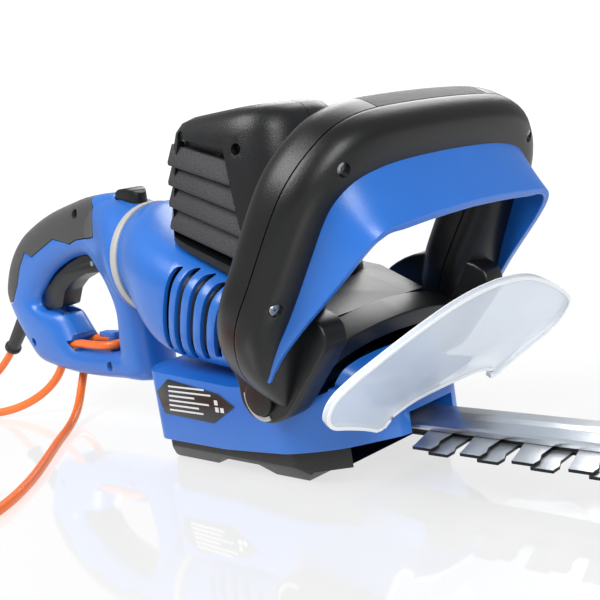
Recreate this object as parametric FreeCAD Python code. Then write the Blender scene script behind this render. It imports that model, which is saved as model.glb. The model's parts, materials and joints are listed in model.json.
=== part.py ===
"""Corded hedge trimmer: clamshell body, cooling cowl, swivelling rear handle, loop front handle
with a switch bail, hand guard, and two opposed cutting blades driven by a crank.

Frame: +X forward along the blades, +Y to the tool's left, +Z up, feet at Z = 0.
All sizes are millimetres.
"""
import FreeCAD, Part
import math
import os

V = FreeCAD.Vector

# ---- Driving dimensions -------------------------------------------------------------------
FIT = 0.05                 # radial clearance of a running fit
GAP = 0.4                  # clearance between separate bodies
WALL = 3.0                 # moulded shell wall

BODY_HALF_WIDTH = 61.0     # skirt of the main housing
BODY_REAR_X = -126.0
NOSE_X = 62.0
SKIRT_Z = 17.0             # joint between the housing and the base plate
SKIRT_TOP_Z = 66.0
SKIRT_RISE = 9.0           # the joint with the base plate climbs this much towards the nose
GUARD_PAD = (10.0, 20.0, 52.0, 60.0)    # pads that carry the guard: |Y| from, to, Z from, to
NECK_X = -163.0            # rear end of the housing, where the angle ring sits
NECK_RADIUS = 39.5
SWIVEL_Z = 126.0           # height of the rear handle's swivel axis

RING_LENGTH = 7.0
RING_RADIUS = 41.0
SLEEVE_RADIUS = 28.0

MOTOR_X = -58.5            # motor axis
COWL_HALF_WIDTH = 46.0
COWL_TOP_HALF_WIDTH = 37.0
COWL_REAR_X = -104.0
COWL_TOP_Z = 216.0
COWL_FRONT_X = 4.0
COWL_SCREWS = [(-23.0, 192.0), (-74.0, 205.0)]
COWL_SCREW_FACE = 34.0
ROOF_REAR = (-109.0, 149.0)     # two points of the sloping roof under the cowl (X, Z)
ROOF_FRONT = (-20.0, 112.0)

HANDLE_LEAN = 29.0         # the front handle leans forward by this many degrees
HANDLE_HALF_WIDTH = 107.0
HANDLE_TOP = 221.0         # along the leaning plane, from the frame's origin
HANDLE_DEPTH = 40.0
HANDLE_SEAM = 16.6         # front half of the handle's depth
HANDLE_BAR = 38.0          # height of the top bar
HANDLE_INNER = 60.0        # half width of the hand opening
HANDLE_FLOOR = 101.0       # top of the arch that closes the opening
LEG_FACE = 80.0            # half width over the flat sides of the legs' feet
LEG_PIVOT = (58.0, -19.0)  # height and depth of the cap on each foot
LEG_CAP_RADIUS = 10.0
LEG_CAP_PROUD = 2.0
HANDLE_SCREWS = [(-78.0, 198.0), (78.0, 198.0), (-101.5, 128.0), (101.5, 128.0)]
HANDLE_SCREW_HEAD = 3.2
HANDLE_SCREW_SINK = 3.0
BAIL_REACH = 24.0          # how far the switch bail stands proud of the handle
BAIL_WALL = 5.0
BAIL_TOP = 203.0
BAIL_HALF_WIDTH = 90.0
BAIL_TURN = 2.5            # degrees of squeeze

GUARD_LEAN = 36.0
GUARD_OFFSET = 30.0        # distance of the guard's rear face from the frame's origin
GUARD_WALL = 3.0
GUARD_TIP = 105.0          # half width at the guard's rounded tips

TOOTH_PITCH = 30.0
TOOTH_COUNT = 17
TOOTH_REACH = 40.0         # from the centre line to the tooth tips
BLADE_HALF_WIDTH = 15.5
BLADE_WALL = 1.6
BLADE_Z = 23.8             # underside of the lower blade
BLADE_GAP = 0.3
BLADE_STROKE = 7.5         # travel of each blade each way
FIRST_TOOTH_X = 96.0
UPPER_OFFSET = -10.0       # the upper blade's teeth stand behind the lower blade's
BAR_HALF_WIDTH = 16.5
BAR_HEIGHT = 4.2
BAR_WALL = 1.6
BAR_OVERHANG = 28.0        # bar past the last tooth
BLADE_OVERHANG = 14.0      # blades past the last tooth
BOLT_RADIUS = 3.0
BOLT_START = 100.0         # first bolt past the first tooth
BOLT_PITCH = 95.0
BOLT_COUNT = 5

GEAR_MODULE = 1.75
PINION_TEETH = 10
GEAR_TEETH = 44
GEAR_Z = 46.0
GEAR_HEIGHT = 8.0
CRANK_PIN_RADIUS = 3.5
CRANK_DISC_RADIUS = 14.0
MOTOR_SHAFT_RADIUS = 4.0
FAN_Z = 90.0
STATOR_RADIUS = 32.0

REAR_GRIP_HALF = 18.0      # half thickness of the rear handle
REAR_BEVEL = 5.0
REAR_WALL = 3.2
GRIP_SKIN = 2.0            # soft grip moulded over the rear handle
REAR_SCREWS = [(-243.0, -12.0, 165.0), (-344.0, -14.0, 62.0), (-232.0, -15.5, 47.0)]
TRIGGER_PIVOT = (-240.0, 126.0)
TRIGGER_HALF = 8.5
BUTTON_X = (-203.0, -176.0)
BUTTON_HALF = 7.5
SLOT_X = (-326.0, -290.0)  # the cord's way up through the handle's lower bar
SLOT_HALF = 14.8
HOOK_X = -246.0
HOOK_RADIUS = 5.0
RELIEF_START = (-370.0, 90.0)
RELIEF_DIRECTION = (-50.0, -41.0)
RELIEF_LENGTH = 64.0
RELIEF_INSIDE = 10.0

CORD_DIAMETER = 6.8
CORD_LENGTH = 6000.0
COIL_MEAN_RADIUS = 42.0
COIL_COLUMNS = 5
COIL_ROWS = 4
COIL_CENTRE = (-186.0, -222.0)
PLUG_CORD_Z = 10.5        # height of the cord where it enters the plug

# ---- Sizes that follow from the driving dimensions ----------------------------------------
HANDLE_FRONT_X = NECK_X - RING_LENGTH - GAP      # front end of the rear handle's collar
WEB_X = HANDLE_FRONT_X - 12.0                    # back of the solid web that turns on the sleeve
LAST_TOOTH_X = FIRST_TOOTH_X + (TOOTH_COUNT - 1) * TOOTH_PITCH
BAR_END_X = LAST_TOOTH_X + BAR_OVERHANG
BLADE_END_X = LAST_TOOTH_X + BLADE_OVERHANG
GEAR_X = MOTOR_X + GEAR_MODULE * (PINION_TEETH + GEAR_TEETH) / 2
UPPER_BLADE_Z = BLADE_Z + BLADE_WALL + BLADE_GAP
BAR_Z = UPPER_BLADE_Z + BLADE_WALL + BLADE_GAP
BOLT_XS = [FIRST_TOOTH_X + BOLT_START + i * BOLT_PITCH for i in range(BOLT_COUNT)]
CORD_R = CORD_DIAMETER / 2
FLOOR_Z = CORD_R + 0.1                           # height of a cord that lies on the floor
COIL_INNER = COIL_MEAN_RADIUS - COIL_COLUMNS * CORD_R
COIL_OUTER = COIL_MEAN_RADIUS + COIL_COLUMNS * CORD_R
COIL_HEIGHT = COIL_ROWS * CORD_DIAMETER


# ---- Small geometry helpers ---------------------------------------------------------------
def box(x0, x1, y0, y1, z0, z1):
    return Part.makeBox(x1 - x0, y1 - y0, z1 - z0, V(x0, y0, z0))


def cylinder(radius, height, base, axis):
    return Part.makeCylinder(radius, height, V(*base), V(*axis))


def outline(points, place):
    """A closed wire through 2D points (a, b) or (a, b, corner radius), placed in space by place(a, b)."""
    corners = [(p[0], p[1], p[2] if len(p) > 2 else 0.0) for p in points]
    count = len(corners)
    ends = []
    for i in range(count):
        here = corners[i]
        before = corners[i - 1]
        after = corners[(i + 1) % count]
        u = (before[0] - here[0], before[1] - here[1])
        v = (after[0] - here[0], after[1] - here[1])
        lu = math.hypot(*u)
        lv = math.hypot(*v)
        u = (u[0] / lu, u[1] / lu)
        v = (v[0] / lv, v[1] / lv)
        half = math.acos(max(-1.0, min(1.0, u[0] * v[0] + u[1] * v[1]))) / 2
        cut = here[2] / math.tan(half) if here[2] and half < math.pi / 2 - 1e-4 else 0.0
        if cut == 0.0:
            ends.append((here[:2], None, here[:2]))
            continue
        cut = min(cut, 0.49 * lu, 0.49 * lv)
        radius = cut * math.tan(half)
        mid = (u[0] + v[0], u[1] + v[1])
        length = math.hypot(*mid)
        reach = radius / math.sin(half) - radius
        start = (here[0] + u[0] * cut, here[1] + u[1] * cut)
        apex = (here[0] + mid[0] / length * reach, here[1] + mid[1] / length * reach)
        end = (here[0] + v[0] * cut, here[1] + v[1] * cut)
        ends.append((start, apex, end))
    edges = []
    for i in range(count):
        start, apex, end = ends[i]
        following = ends[(i + 1) % count][0]
        if apex:
            edges.append(Part.Arc(place(*start), place(*apex), place(*end)).toShape())
        if math.hypot(following[0] - end[0], following[1] - end[1]) > 1e-4:
            edges.append(Part.LineSegment(place(*end), place(*following)).toShape())
    return Part.Wire(Part.__sortEdges__(edges))


def prism_xz(points, y0, y1):
    wire = outline(points, lambda x, z: V(x, y0, z))
    return Part.Face(wire).extrude(V(0, y1 - y0, 0))


def prism_xy(points, z0, z1):
    wire = outline(points, lambda x, y: V(x, y, z0))
    return Part.Face(wire).extrude(V(0, 0, z1 - z0))


def prism_yz(points, x0, x1):
    wire = outline(points, lambda y, z: V(x0, y, z))
    return Part.Face(wire).extrude(V(x1 - x0, 0, 0))


def mirrored(points):
    """Half an outline with positive first coordinate, closed by its mirror image."""
    other = [(-p[0],) + tuple(p[1:]) for p in reversed(points) if abs(p[0]) > 1e-6]
    return list(points) + other


def leaning(lean):
    """Place (Y, height along a plane that leans forward) at a depth in front of the frame's origin."""
    angle = math.radians(lean)

    def at_depth(depth):
        def place(y, h):
            x = h * math.sin(angle) + depth * math.cos(angle)
            return V(x, y, h * math.cos(angle) - depth * math.sin(angle))
        return place
    return at_depth


handle_plane = leaning(HANDLE_LEAN)
guard_plane = leaning(GUARD_LEAN)


def slab(points, plane, depth0, depth1):
    """A solid between two depths of a leaning plane."""
    wire = outline(points, plane(depth0))
    return Part.Face(wire).extrude(plane(depth1)(0, 0) - plane(depth0)(0, 0))


def bevelled_slab(points, plane, depth0, depth1, inset, shrink=0.0):
    """A slab whose outline steps in by inset at both faces; shrink brings the whole outline in."""
    levels = [(depth0, -inset - shrink), (depth0 + inset, -shrink), (depth1 - inset, -shrink),
              (depth1, -inset - shrink)]
    wires = []
    for depth, offset in levels:
        wire = outline(points, plane(depth))
        if offset:
            wire = wire.makeOffset2D(offset)
        wires.append(wire)
    return fuse([Part.makeLoft([low, high], True, True) for low, high in zip(wires, wires[1:])])


def fuse(shapes):
    result = shapes[0]
    if len(shapes) > 1:
        result = result.fuse(shapes[1:])
    return result.removeSplitter()


def mirror_y(shape):
    return shape.mirror(V(0, 0, 0), V(0, 1, 0))


def halves(shape):
    """The tool's right (-Y) and left (+Y) half of a shape."""
    bounds = shape.BoundBox
    span = [bounds.XMin - 1, bounds.XMax + 1, bounds.ZMin - 1, bounds.ZMax + 1]
    right = box(span[0], span[1], bounds.YMin - 1, 0, span[2], span[3])
    left = box(span[0], span[1], 0, bounds.YMax + 1, span[2], span[3])
    return shape.common(right), shape.common(left)


def ring(outer, inner, height, base, axis):
    return cylinder(outer, height, base, axis).cut(cylinder(inner, height, base, axis))


def screws(places, axis, radius, length, head_radius, head_height):
    """Identical screws as one group: each place is the top of a head, axis points out of it."""
    group = []
    direction = V(*axis)
    for place in places:
        top = V(*place)
        head = Part.makeCylinder(head_radius, head_height, top - direction * head_height, direction)
        shank = Part.makeCylinder(radius, length, top - direction * (length + head_height), direction)
        recess = Part.makeBox(1.0, 1.0, 1.2, V(-0.5, -0.5, 0))
        recess.Placement = FreeCAD.Placement(top - direction * 1.2, FreeCAD.Rotation(V(0, 0, 1), direction))
        group.append(head.fuse(shank).removeSplitter().cut(recess))
    return Part.makeCompound(group)


PARTS = {}


def keep(name, shape):
    PARTS[name] = shape


# ---- Main housing -------------------------------------------------------------------------
def section(x, half_width, bottom, top, radius):
    """A rounded rectangle across the tool at x."""
    points = [(half_width, bottom, radius), (half_width, top, radius),
              (-half_width, top, radius), (-half_width, bottom, radius)]
    return outline(points, lambda y, z: V(x, y, z))


def roof_z(x):
    slope = (ROOF_FRONT[1] - ROOF_REAR[1]) / (ROOF_FRONT[0] - ROOF_REAR[0])
    return ROOF_REAR[1] + slope * (x - ROOF_REAR[0])


def upper_body(inset):
    """The barrel that widens from the swivel ring to the motor and falls away to the nose."""
    width = BODY_HALF_WIDTH - 2
    stations = [
        (NECK_X, NECK_RADIUS + 0.1, SWIVEL_Z - NECK_RADIUS, SWIVEL_Z + NECK_RADIUS, NECK_RADIUS - 0.1),
        (-140, width - 13, 82, 164, 34),
        (-114, width - 3, 70, 151, 22),
        (-70, width, 62, roof_z(-70), 18),
        (-20, width, 58, roof_z(-20), 18),
        (NOSE_X - 38, width - 8, 52, 86, 16),
        (NOSE_X - 18, width - 21, 44, 69, 10),
        (NOSE_X - 2, 23, 37, 52, 6),
    ]
    wires = []
    for x, half, bottom, top, radius in stations:
        inner_radius = max(radius - inset, 2.0)
        wires.append(section(x, half - inset, bottom + inset, top - inset, inner_radius))
    return Part.makeLoft(wires, True, True)


def plan(inset, front):
    """Outline of the skirt seen from above."""
    half = BODY_HALF_WIDTH - inset
    rear = BODY_REAR_X + inset
    return mirrored([(half - 12, rear), (half, rear + 12), (half, front - 58), (half - 13, front - 26),
                     (24 - inset, front - inset)])


def skirt(inset):
    """The lower body: the plan extruded, cut to the tool's side profile."""
    points = [(p[1], p[0], 10.0 if i in (1, 8) else 4.0) for i, p in enumerate(plan(inset, NOSE_X))]
    block = prism_xy(points, SKIRT_Z, 110)
    nose = NOSE_X - inset
    profile = [(BODY_REAR_X + 6, SKIRT_Z), (-50, SKIRT_Z), (20, SKIRT_Z + SKIRT_RISE / 2),
               (nose, SKIRT_Z + SKIRT_RISE), (nose, 46), (nose - 3, 54 - inset), (nose - 20, 70 - inset),
               (nose - 38, 84 - inset), (-20, 92 - inset), (-60, SKIRT_TOP_Z - inset), (BODY_REAR_X + 4, SKIRT_TOP_Z - inset),
               (BODY_REAR_X + inset, SKIRT_TOP_Z - 4 - inset), (BODY_REAR_X + inset, 27)]
    return block.common(prism_xz(profile, -90, 90))


def vent_slots():
    """Five leaning slots through each flank beside the motor's fan."""
    slots = []
    for i in range(5):
        x = -92.0 + i * 12.5
        top = roof_z(x) - 20
        points = [(x - 3, 76), (x + 3, 74), (x + 9, top - 4), (x + 3, top)]
        slots.append(prism_xz(points, -BODY_HALF_WIDTH - 3, -BODY_HALF_WIDTH + 9))
    right = Part.makeCompound(slots)
    return [right, mirror_y(right)]


def cowl_seat():
    """The motor's opening in the roof, inside the cowl."""
    return cylinder(34, 80, (MOTOR_X, 0, 100), (0, 0, 1))


def guard_pads():
    """Two pads that reach from the nose to the back of the hand guard."""
    near, far, low, high = GUARD_PAD
    front = slab([(-90, -40), (90, -40), (90, 200), (-90, 200)], guard_plane, GUARD_OFFSET, GUARD_OFFSET + 60)
    pad = box(NOSE_X - 16, NOSE_X + 40, near, far, low, high).cut(front)
    return [pad, mirror_y(pad)]


def make_housing():
    outer = fuse([upper_body(0), skirt(0)] + guard_pads())
    outer = outer.cut(prism_xz([(ROOF_REAR[0] - 8, roof_z(ROOF_REAR[0] - 8) + 2), (10, roof_z(10)), (10, 230),
                                (ROOF_REAR[0] - 8, 230)], -90, 90))
    inner = fuse([upper_body(WALL), skirt(WALL)])
    below = box(BODY_REAR_X + 9, NOSE_X - 14, -BODY_HALF_WIDTH + 15, BODY_HALF_WIDTH - 15, 0, 40)
    shell = outer.cut(inner).cut(below)
    shell = shell.cut(cowl_seat())
    well = box(BODY_REAR_X + 24, 20, -BODY_HALF_WIDTH + 12, BODY_HALF_WIDTH - 12, 38, 74)
    shell = shell.cut(well)
    for slots in vent_slots():
        shell = shell.cut(slots)
    neck = cylinder(SLEEVE_RADIUS, 60, (NECK_X - 20, 0, SWIVEL_Z), (1, 0, 0))
    shell = shell.cut(neck)
    # The blades and their bar leave through a slot in the nose.
    blade_exit = box(20, NOSE_X + 20, -BAR_HALF_WIDTH - 2, BAR_HALF_WIDTH + 2, 0, BLADE_Z + 12.5)
    shell = shell.cut(blade_exit)
    shell = shell.cut(slab(arch_points(0.0), handle_plane, -HANDLE_SEAM - 0.2, 2.2))
    right, left = halves(shell)
    keep("housing_right", biggest(right))
    keep("housing_left", biggest(left))


def biggest(shape):
    return max(shape.Solids, key=lambda s: s.Volume)


def make_base_plate():
    """Black underside with two stepped feet, rising to the blades at the front."""
    half = BODY_HALF_WIDTH - 5
    outer = [(BODY_REAR_X + 3, -half + 10, 6), (BODY_REAR_X + 3, half - 10, 6), (BODY_REAR_X + 13, half, 6),
             (NOSE_X - 58, half, 10), (NOSE_X - 26, half - 14, 6), (NOSE_X + 2, 20), (NOSE_X + 2, -20),
             (NOSE_X - 26, -half + 14, 6), (NOSE_X - 58, -half, 10), (BODY_REAR_X + 13, -half, 6)]
    top = [(BODY_REAR_X + 2, SKIRT_Z), (-50, SKIRT_Z), (20, SKIRT_Z + SKIRT_RISE / 2), (NOSE_X, SKIRT_Z + SKIRT_RISE),
           (NOSE_X + 2, SKIRT_Z + SKIRT_RISE)]
    bottom = [(NOSE_X + 2, 21), (NOSE_X - 8, 16), (38, 11), (14, 8), (4, 0), (-24, 0), (-32, 7), (-66, 7),
              (-78, 0), (BODY_REAR_X + 6, 0), (BODY_REAR_X + 2, 8)]
    block = prism_xy(outer, -1, 30).common(prism_xz(top + bottom, -90, 90))
    # A chamfer along both long edges narrows the feet.
    wedge = prism_yz([(-half - 1, -1), (-half + 10, -1), (-half - 1, 12)], -200, 200)
    block = block.cut(wedge).cut(mirror_y(wedge))
    hollow = box(BODY_REAR_X + 14, 40, -half + 14, half - 14, 10, 40)
    block = block.cut(hollow)
    channel = box(30, NOSE_X + 20, -BAR_HALF_WIDTH - 2, BAR_HALF_WIDTH + 2, 19, 40)
    keep("base_plate", biggest(block.cut(channel)))


def make_label():
    """Rating plate on the right flank."""
    points = [(-106, 35), (-57, 33), (-35, 45), (-48, 52), (-97, 58), (-111, 49)]
    face = -BODY_HALF_WIDTH
    keep("rating_label", prism_xz(points, face - 0.6, face))


# ---- Cowl over the motor ------------------------------------------------------------------
def cowl_plan(half, rear, front):
    """Outline seen from above: square at the rear and round at the front."""
    return [(rear, -half, 6), (rear, half, 6), (front, half, half * 0.8), (front, -half, half * 0.8)]


def cowl_block(inset):
    low = outline(cowl_plan(COWL_HALF_WIDTH - inset, COWL_REAR_X + inset, COWL_FRONT_X - inset),
                  lambda x, y: V(x, y, 96))
    mid = outline(cowl_plan(COWL_HALF_WIDTH - 4 - inset, COWL_REAR_X + 8 + inset, COWL_FRONT_X - inset),
                  lambda x, y: V(x, y, 176))
    high = outline(cowl_plan(COWL_TOP_HALF_WIDTH - inset, COWL_REAR_X + 18 + inset, COWL_FRONT_X - inset),
                   lambda x, y: V(x, y, COWL_TOP_Z - 8 - inset))
    cap = outline(cowl_plan(COWL_TOP_HALF_WIDTH - 8 - inset, COWL_REAR_X + 26 + inset,
                            COWL_FRONT_X - 12 - inset), lambda x, y: V(x, y, COWL_TOP_Z - inset))
    return Part.makeLoft([low, mid, high, cap], True, True)


def louvre_slots():
    """Four slots through each flank of the cowl."""
    slots = []
    for i in range(4):
        z = 150 + i * 13
        x0 = COWL_REAR_X + 20
        drop = 14
        points = [(x0, z + 3), (x0, z), (-34, z - drop), (-34, z - drop + 3)]
        slots.append(prism_xz(points, -COWL_HALF_WIDTH - 5, -COWL_TOP_HALF_WIDTH + 8))
    right = Part.makeCompound(slots)
    return [right, mirror_y(right)]


def cowl_posts(radius):
    """Screw posts that run right across the cowl."""
    return [cylinder(radius, 2 * COWL_HALF_WIDTH, (x, -COWL_HALF_WIDTH, z), (0, 1, 0)) for x, z in COWL_SCREWS]


def make_cowl():
    solid = cowl_block(0)
    shell = solid.cut(cowl_block(WALL)).fuse([post.common(solid) for post in cowl_posts(4.5)]).removeSplitter()
    for x, z in COWL_SCREWS:
        shell = shell.cut(cylinder(3.4, COWL_HALF_WIDTH, (x, -COWL_SCREW_FACE - COWL_HALF_WIDTH, z), (0, 1, 0)))
    places = [(x, -COWL_SCREW_FACE, z) for x, z in COWL_SCREWS]
    group = screws(places, (0, -1, 0), 1.8, COWL_SCREW_FACE + 8, 3.2, 2.0)
    shell = shell.cut(group)
    keep("cowl_screws", group)
    below = prism_xz([(-140, roof_z(-140) + 0.2), (40, roof_z(40) + 0.2), (40, 40), (-140, 40)], -90, 90)
    shell = shell.cut(below)
    for slots in louvre_slots():
        shell = shell.cut(slots)
    right, left = halves(shell)
    keep("cowl_right", biggest(right))
    keep("cowl_left", biggest(left))


# ---- Front handle -------------------------------------------------------------------------
def arch_points(grow):
    """The band over the gearbox that joins the handle's two legs, as a (Y, height) outline."""
    half = HANDLE_INNER + 6
    return mirrored([(0, HANDLE_FLOOR + grow), (34, HANDLE_FLOOR - 3 + grow), (half, HANDLE_FLOOR - 10 + grow),
                     (half, 68), (48, 82), (0, HANDLE_FLOOR - 12)])


def handle_outer():
    half = HANDLE_HALF_WIDTH
    return mirrored([(half - 5, HANDLE_TOP, 42), (half + 5, 104, 30), (half - 14, 78, 20), (LEG_FACE, 70, 12),
                     (LEG_FACE, 44, 8), (BODY_HALF_WIDTH + GAP, 44)])


def handle_opening():
    inner = HANDLE_INNER
    return mirrored([(inner + 6, HANDLE_TOP - HANDLE_BAR, 26), (inner - 4, HANDLE_FLOOR, 10)])


def leg_gap():
    """Space between the legs below the arch, which the body fills."""
    half = BODY_HALF_WIDTH + GAP
    return mirrored([(half, 20), (half, 86), (40, HANDLE_FLOOR - 13), (0, HANDLE_FLOOR - 12)])


def make_front_handle():
    loop = bevelled_slab(handle_outer(), handle_plane, -HANDLE_DEPTH, 0, 8)
    loop = loop.cut(slab(handle_opening(), handle_plane, -HANDLE_DEPTH - 1, 1))
    loop = loop.cut(slab(leg_gap(), handle_plane, -HANDLE_DEPTH - 1, 1))
    # Only the front part of the loop crosses the body as the arch.
    half = BODY_HALF_WIDTH + GAP
    behind = slab([(-half, 20), (half, 20), (half, HANDLE_FLOOR + 8), (-half, HANDLE_FLOOR + 8)],
                  handle_plane, -HANDLE_DEPTH - 1, -HANDLE_SEAM)
    loop = loop.cut(behind)
    for cap in leg_caps():
        loop = loop.cut(cap)
    front = loop.common(slab(mirrored([(140, 0), (140, 260)]), handle_plane, -HANDLE_SEAM, 2))
    front = front.cut(bail_groove())
    rear = loop.common(slab(mirrored([(140, 0), (140, 260)]), handle_plane, -HANDLE_DEPTH - 2, -HANDLE_SEAM))
    group = handle_screws()
    for y, h in HANDLE_SCREWS:
        well = Part.makeCylinder(HANDLE_SCREW_HEAD + 0.2, 20, handle_plane(-HANDLE_SCREW_SINK)(y, h),
                                 handle_plane(1)(0, 0) - handle_plane(0)(0, 0))
        front = front.cut(well)
    front = front.cut(group)
    rear = rear.cut(group)
    keep("front_handle_screws", group)
    insert_region = slab([(-46, HANDLE_TOP - 17), (46, HANDLE_TOP - 17), (46, HANDLE_TOP + 5),
                          (-46, HANDLE_TOP + 5)], handle_plane, -HANDLE_DEPTH - 2, -HANDLE_SEAM)
    insert = rear.common(insert_region)
    rear = rear.cut(insert_region)
    keep("front_handle_front", biggest(front))
    rear_solids = sorted(rear.Solids, key=lambda s: -s.Volume)
    keep("front_handle_rear", Part.makeCompound(rear_solids) if len(rear_solids) > 1 else rear_solids[0])
    keep("front_grip_insert", biggest(insert))


def handle_screws():
    """Four screws that clamp the two halves of the loop, sunk in its front face."""
    normal = handle_plane(1)(0, 0) - handle_plane(0)(0, 0)
    places = []
    for y, h in HANDLE_SCREWS:
        top = handle_plane(-HANDLE_SCREW_SINK)(y, h)
        places.append((top.x, top.y, top.z))
    return screws(places, (normal.x, normal.y, normal.z), 2.0, 18.0, HANDLE_SCREW_HEAD, 2.2)


def bail_outline(half, top, floor, radius):
    return mirrored([(half - 2, top, radius), (half, floor)])


def bail_shape(grow, slack_side, slack_top, back):
    """A band that slopes forward and down from the handle's face, its inner face eased by the slack."""
    side = BAIL_HALF_WIDTH - BAIL_WALL - grow - slack_side
    top = BAIL_TOP - BAIL_WALL - grow - slack_top
    rear_outer = bail_outline(BAIL_HALF_WIDTH + grow, BAIL_TOP + grow, 104 - grow, 34 + grow)
    rear_inner = bail_outline(side, top, 90, 30 - grow)
    lip_outer = bail_outline(BAIL_HALF_WIDTH - 8 + grow, BAIL_TOP - 20 + grow, 104 - grow, 30 + grow)
    lip_inner = bail_outline(side - 8, top - 20, 90, 26 - grow)
    outer = Part.makeLoft([outline(rear_outer, handle_plane(-2)),
                           outline(lip_outer, handle_plane(BAIL_REACH))], True, True)
    inner = Part.makeLoft([outline(rear_inner, handle_plane(-2)),
                           outline(lip_inner, handle_plane(BAIL_REACH))], True, True)
    if back:
        outer = outer.fuse(slab(rear_outer, handle_plane, -2.0 - back, -2))
        inner = inner.fuse(slab(rear_inner, handle_plane, -2.0 - back, -2))
    return outer.cut(inner)


def bail_groove():
    """Room for the bail in the handle's face, from rest to fully squeezed."""
    travel = math.radians(BAIL_TURN) * (BAIL_TOP - HANDLE_FLOOR)
    slope_side = 8 / (BAIL_REACH + 2)
    slope_top = 20 / (BAIL_REACH + 2)
    return bail_shape(GAP + 0.2, slope_side * travel, slope_top * travel, travel + 2)


def make_bail():
    band = bail_shape(0.0, 0.0, 0.0, 0.0)
    # The band narrows to nothing towards the foot of each leg.
    corners = []
    for depth, height in ((-30.0, 60.0), (2.0, 104.0), (BAIL_REACH + 2, 168.0), (60.0, 168.0), (60.0, 60.0)):
        corners.append(handle_plane(depth)(0, height))
    wire = Part.makePolygon([V(p.x, -130, p.z) for p in corners + corners[:1]])
    keep("switch_bail", biggest(band.cut(Part.Face(wire).extrude(V(0, 260, 0)))))


def leg_caps():
    """Round caps over the screws that hold the handle's legs to the body."""
    height, depth = LEG_PIVOT
    centre = handle_plane(depth)(0, height)
    right = cylinder(LEG_CAP_RADIUS, 2 * LEG_CAP_PROUD, (centre.x, -LEG_FACE - LEG_CAP_PROUD, centre.z), (0, 1, 0))
    return [right, mirror_y(right)]


def make_leg_caps():
    right, left = leg_caps()
    keep("leg_cap_right", right)
    keep("leg_cap_left", left)


# ---- Hand guard ---------------------------------------------------------------------------
def make_guard():
    tip = GUARD_TIP
    points = mirrored([(0, 154), (35, 150, 60), (66, 138, 80), (tip - 12, 123, 12), (tip, 112, 10),
                       (tip - 6, 95, 12), (54, 70, 4), (48, 77, 3), (30, 83, 10), (0, 84)])
    guard = slab(points, guard_plane, GUARD_OFFSET, GUARD_OFFSET + GUARD_WALL)
    keep("hand_guard", biggest(guard.cut(upper_body(0)).cut(skirt(0))))


# ---- Rear handle --------------------------------------------------------------------------
def side_plane(depth):
    """Place (X, Z) on a vertical plane along the tool, depth to its left."""
    return lambda x, z: V(x, depth, z)


def rear_outer():
    front = WEB_X - 2
    return [(front, 172, 6), (-228, 176, 30), (-292, 168, 60), (-346, 150, 40), (-380, 122, 24),
            (-388, 102, 14), (-372, 64, 12), (-355, 44, 10), (-313, 37, 30), (-202, 35, 10),
            (front, 50, 8)]


def rear_opening():
    return [(-221, 78, 8), (-220, 92, 8), (-236, 118, 8), (-246, 131, 6), (-272, 129, 20),
            (-302, 118, 20), (-324, 104, 12), (-332, 92, 6), (-322, 86, 6), (-300, 88, 5), (-280, 57, 6),
            (-226, 57, 6)]


def grip_region():
    """Side view of the soft grip: a zigzag lower edge and a bowed front edge."""
    return [(-222, 200), (-216, 176), (-222, 160), (-218, 147), (-250, 146), (-262, 142), (-284, 148),
            (-322, 133), (-334, 139), (-366, 100), (-400, 140), (-350, 200)]


def rear_solid(inset):
    """The handle's D and its collar, inset all round by the given amount."""
    half = REAR_GRIP_HALF - inset
    body = bevelled_slab(rear_outer(), side_plane, -half, half, REAR_BEVEL, inset)
    collar_front = HANDLE_FRONT_X if not inset else WEB_X
    stations = [(collar_front, NECK_RADIUS + 0.1 - inset, SWIVEL_Z - NECK_RADIUS + inset,
                 SWIVEL_Z + NECK_RADIUS - inset, NECK_RADIUS - 0.1 - inset),
                (WEB_X - 8, 33 - inset, 88 + inset, 171 - inset, 28 - inset),
                (WEB_X - 36, 20 - inset, 112 + inset, 175 - inset, 14 - inset)]
    wires = [section(*station) for station in stations]
    collar = Part.makeLoft(wires, True, True)
    opening = outline(rear_opening(), side_plane(-60))
    if inset:
        opening = opening.makeOffset2D(inset)
    hole = Part.Face(opening).extrude(V(0, 120, 0))
    return fuse([body, collar]).cut(hole)


def relief_line(t):
    """A point t millimetres along the cord's exit from the rear handle."""
    length = math.hypot(RELIEF_DIRECTION[0], RELIEF_DIRECTION[1])
    return V(RELIEF_START[0] + RELIEF_DIRECTION[0] / length * t, 0,
             RELIEF_START[1] + RELIEF_DIRECTION[1] / length * t)


def relief_solid(grow):
    direction = relief_line(1) - relief_line(0)
    start = relief_line(-grow)
    anchor = Part.makeCylinder(8.0 + grow, RELIEF_INSIDE - 2 + grow, start, direction)
    cone = Part.makeCone(7.0 + grow, 5.6 + grow, RELIEF_LENGTH - RELIEF_INSIDE + 2, relief_line(RELIEF_INSIDE - 2),
                         direction)
    flange = Part.makeCylinder(7.4, 3.0, relief_line(RELIEF_LENGTH - 3), direction)
    return fuse([anchor, cone, flange])


def trigger_profile():
    return [(-232, 132, 3), (-258, 132, 10), (-280, 126, 20), (-303, 117, 15), (-324, 104, 8), (-329, 93, 4),
            (-320, 88, 4), (-302, 91, 5), (-293, 104, 8), (-281, 111, 15), (-256, 118, 20), (-236, 119, 4)]


def trigger_pocket():
    """Room inside the handle for the trigger at both ends of its travel."""
    return [(-229, 112), (-229, 137), (-258, 141), (-290, 138), (-318, 128), (-338, 114), (-342, 100),
            (-336, 88), (-322, 83), (-300, 84), (-286, 100), (-250, 112)]


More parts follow.
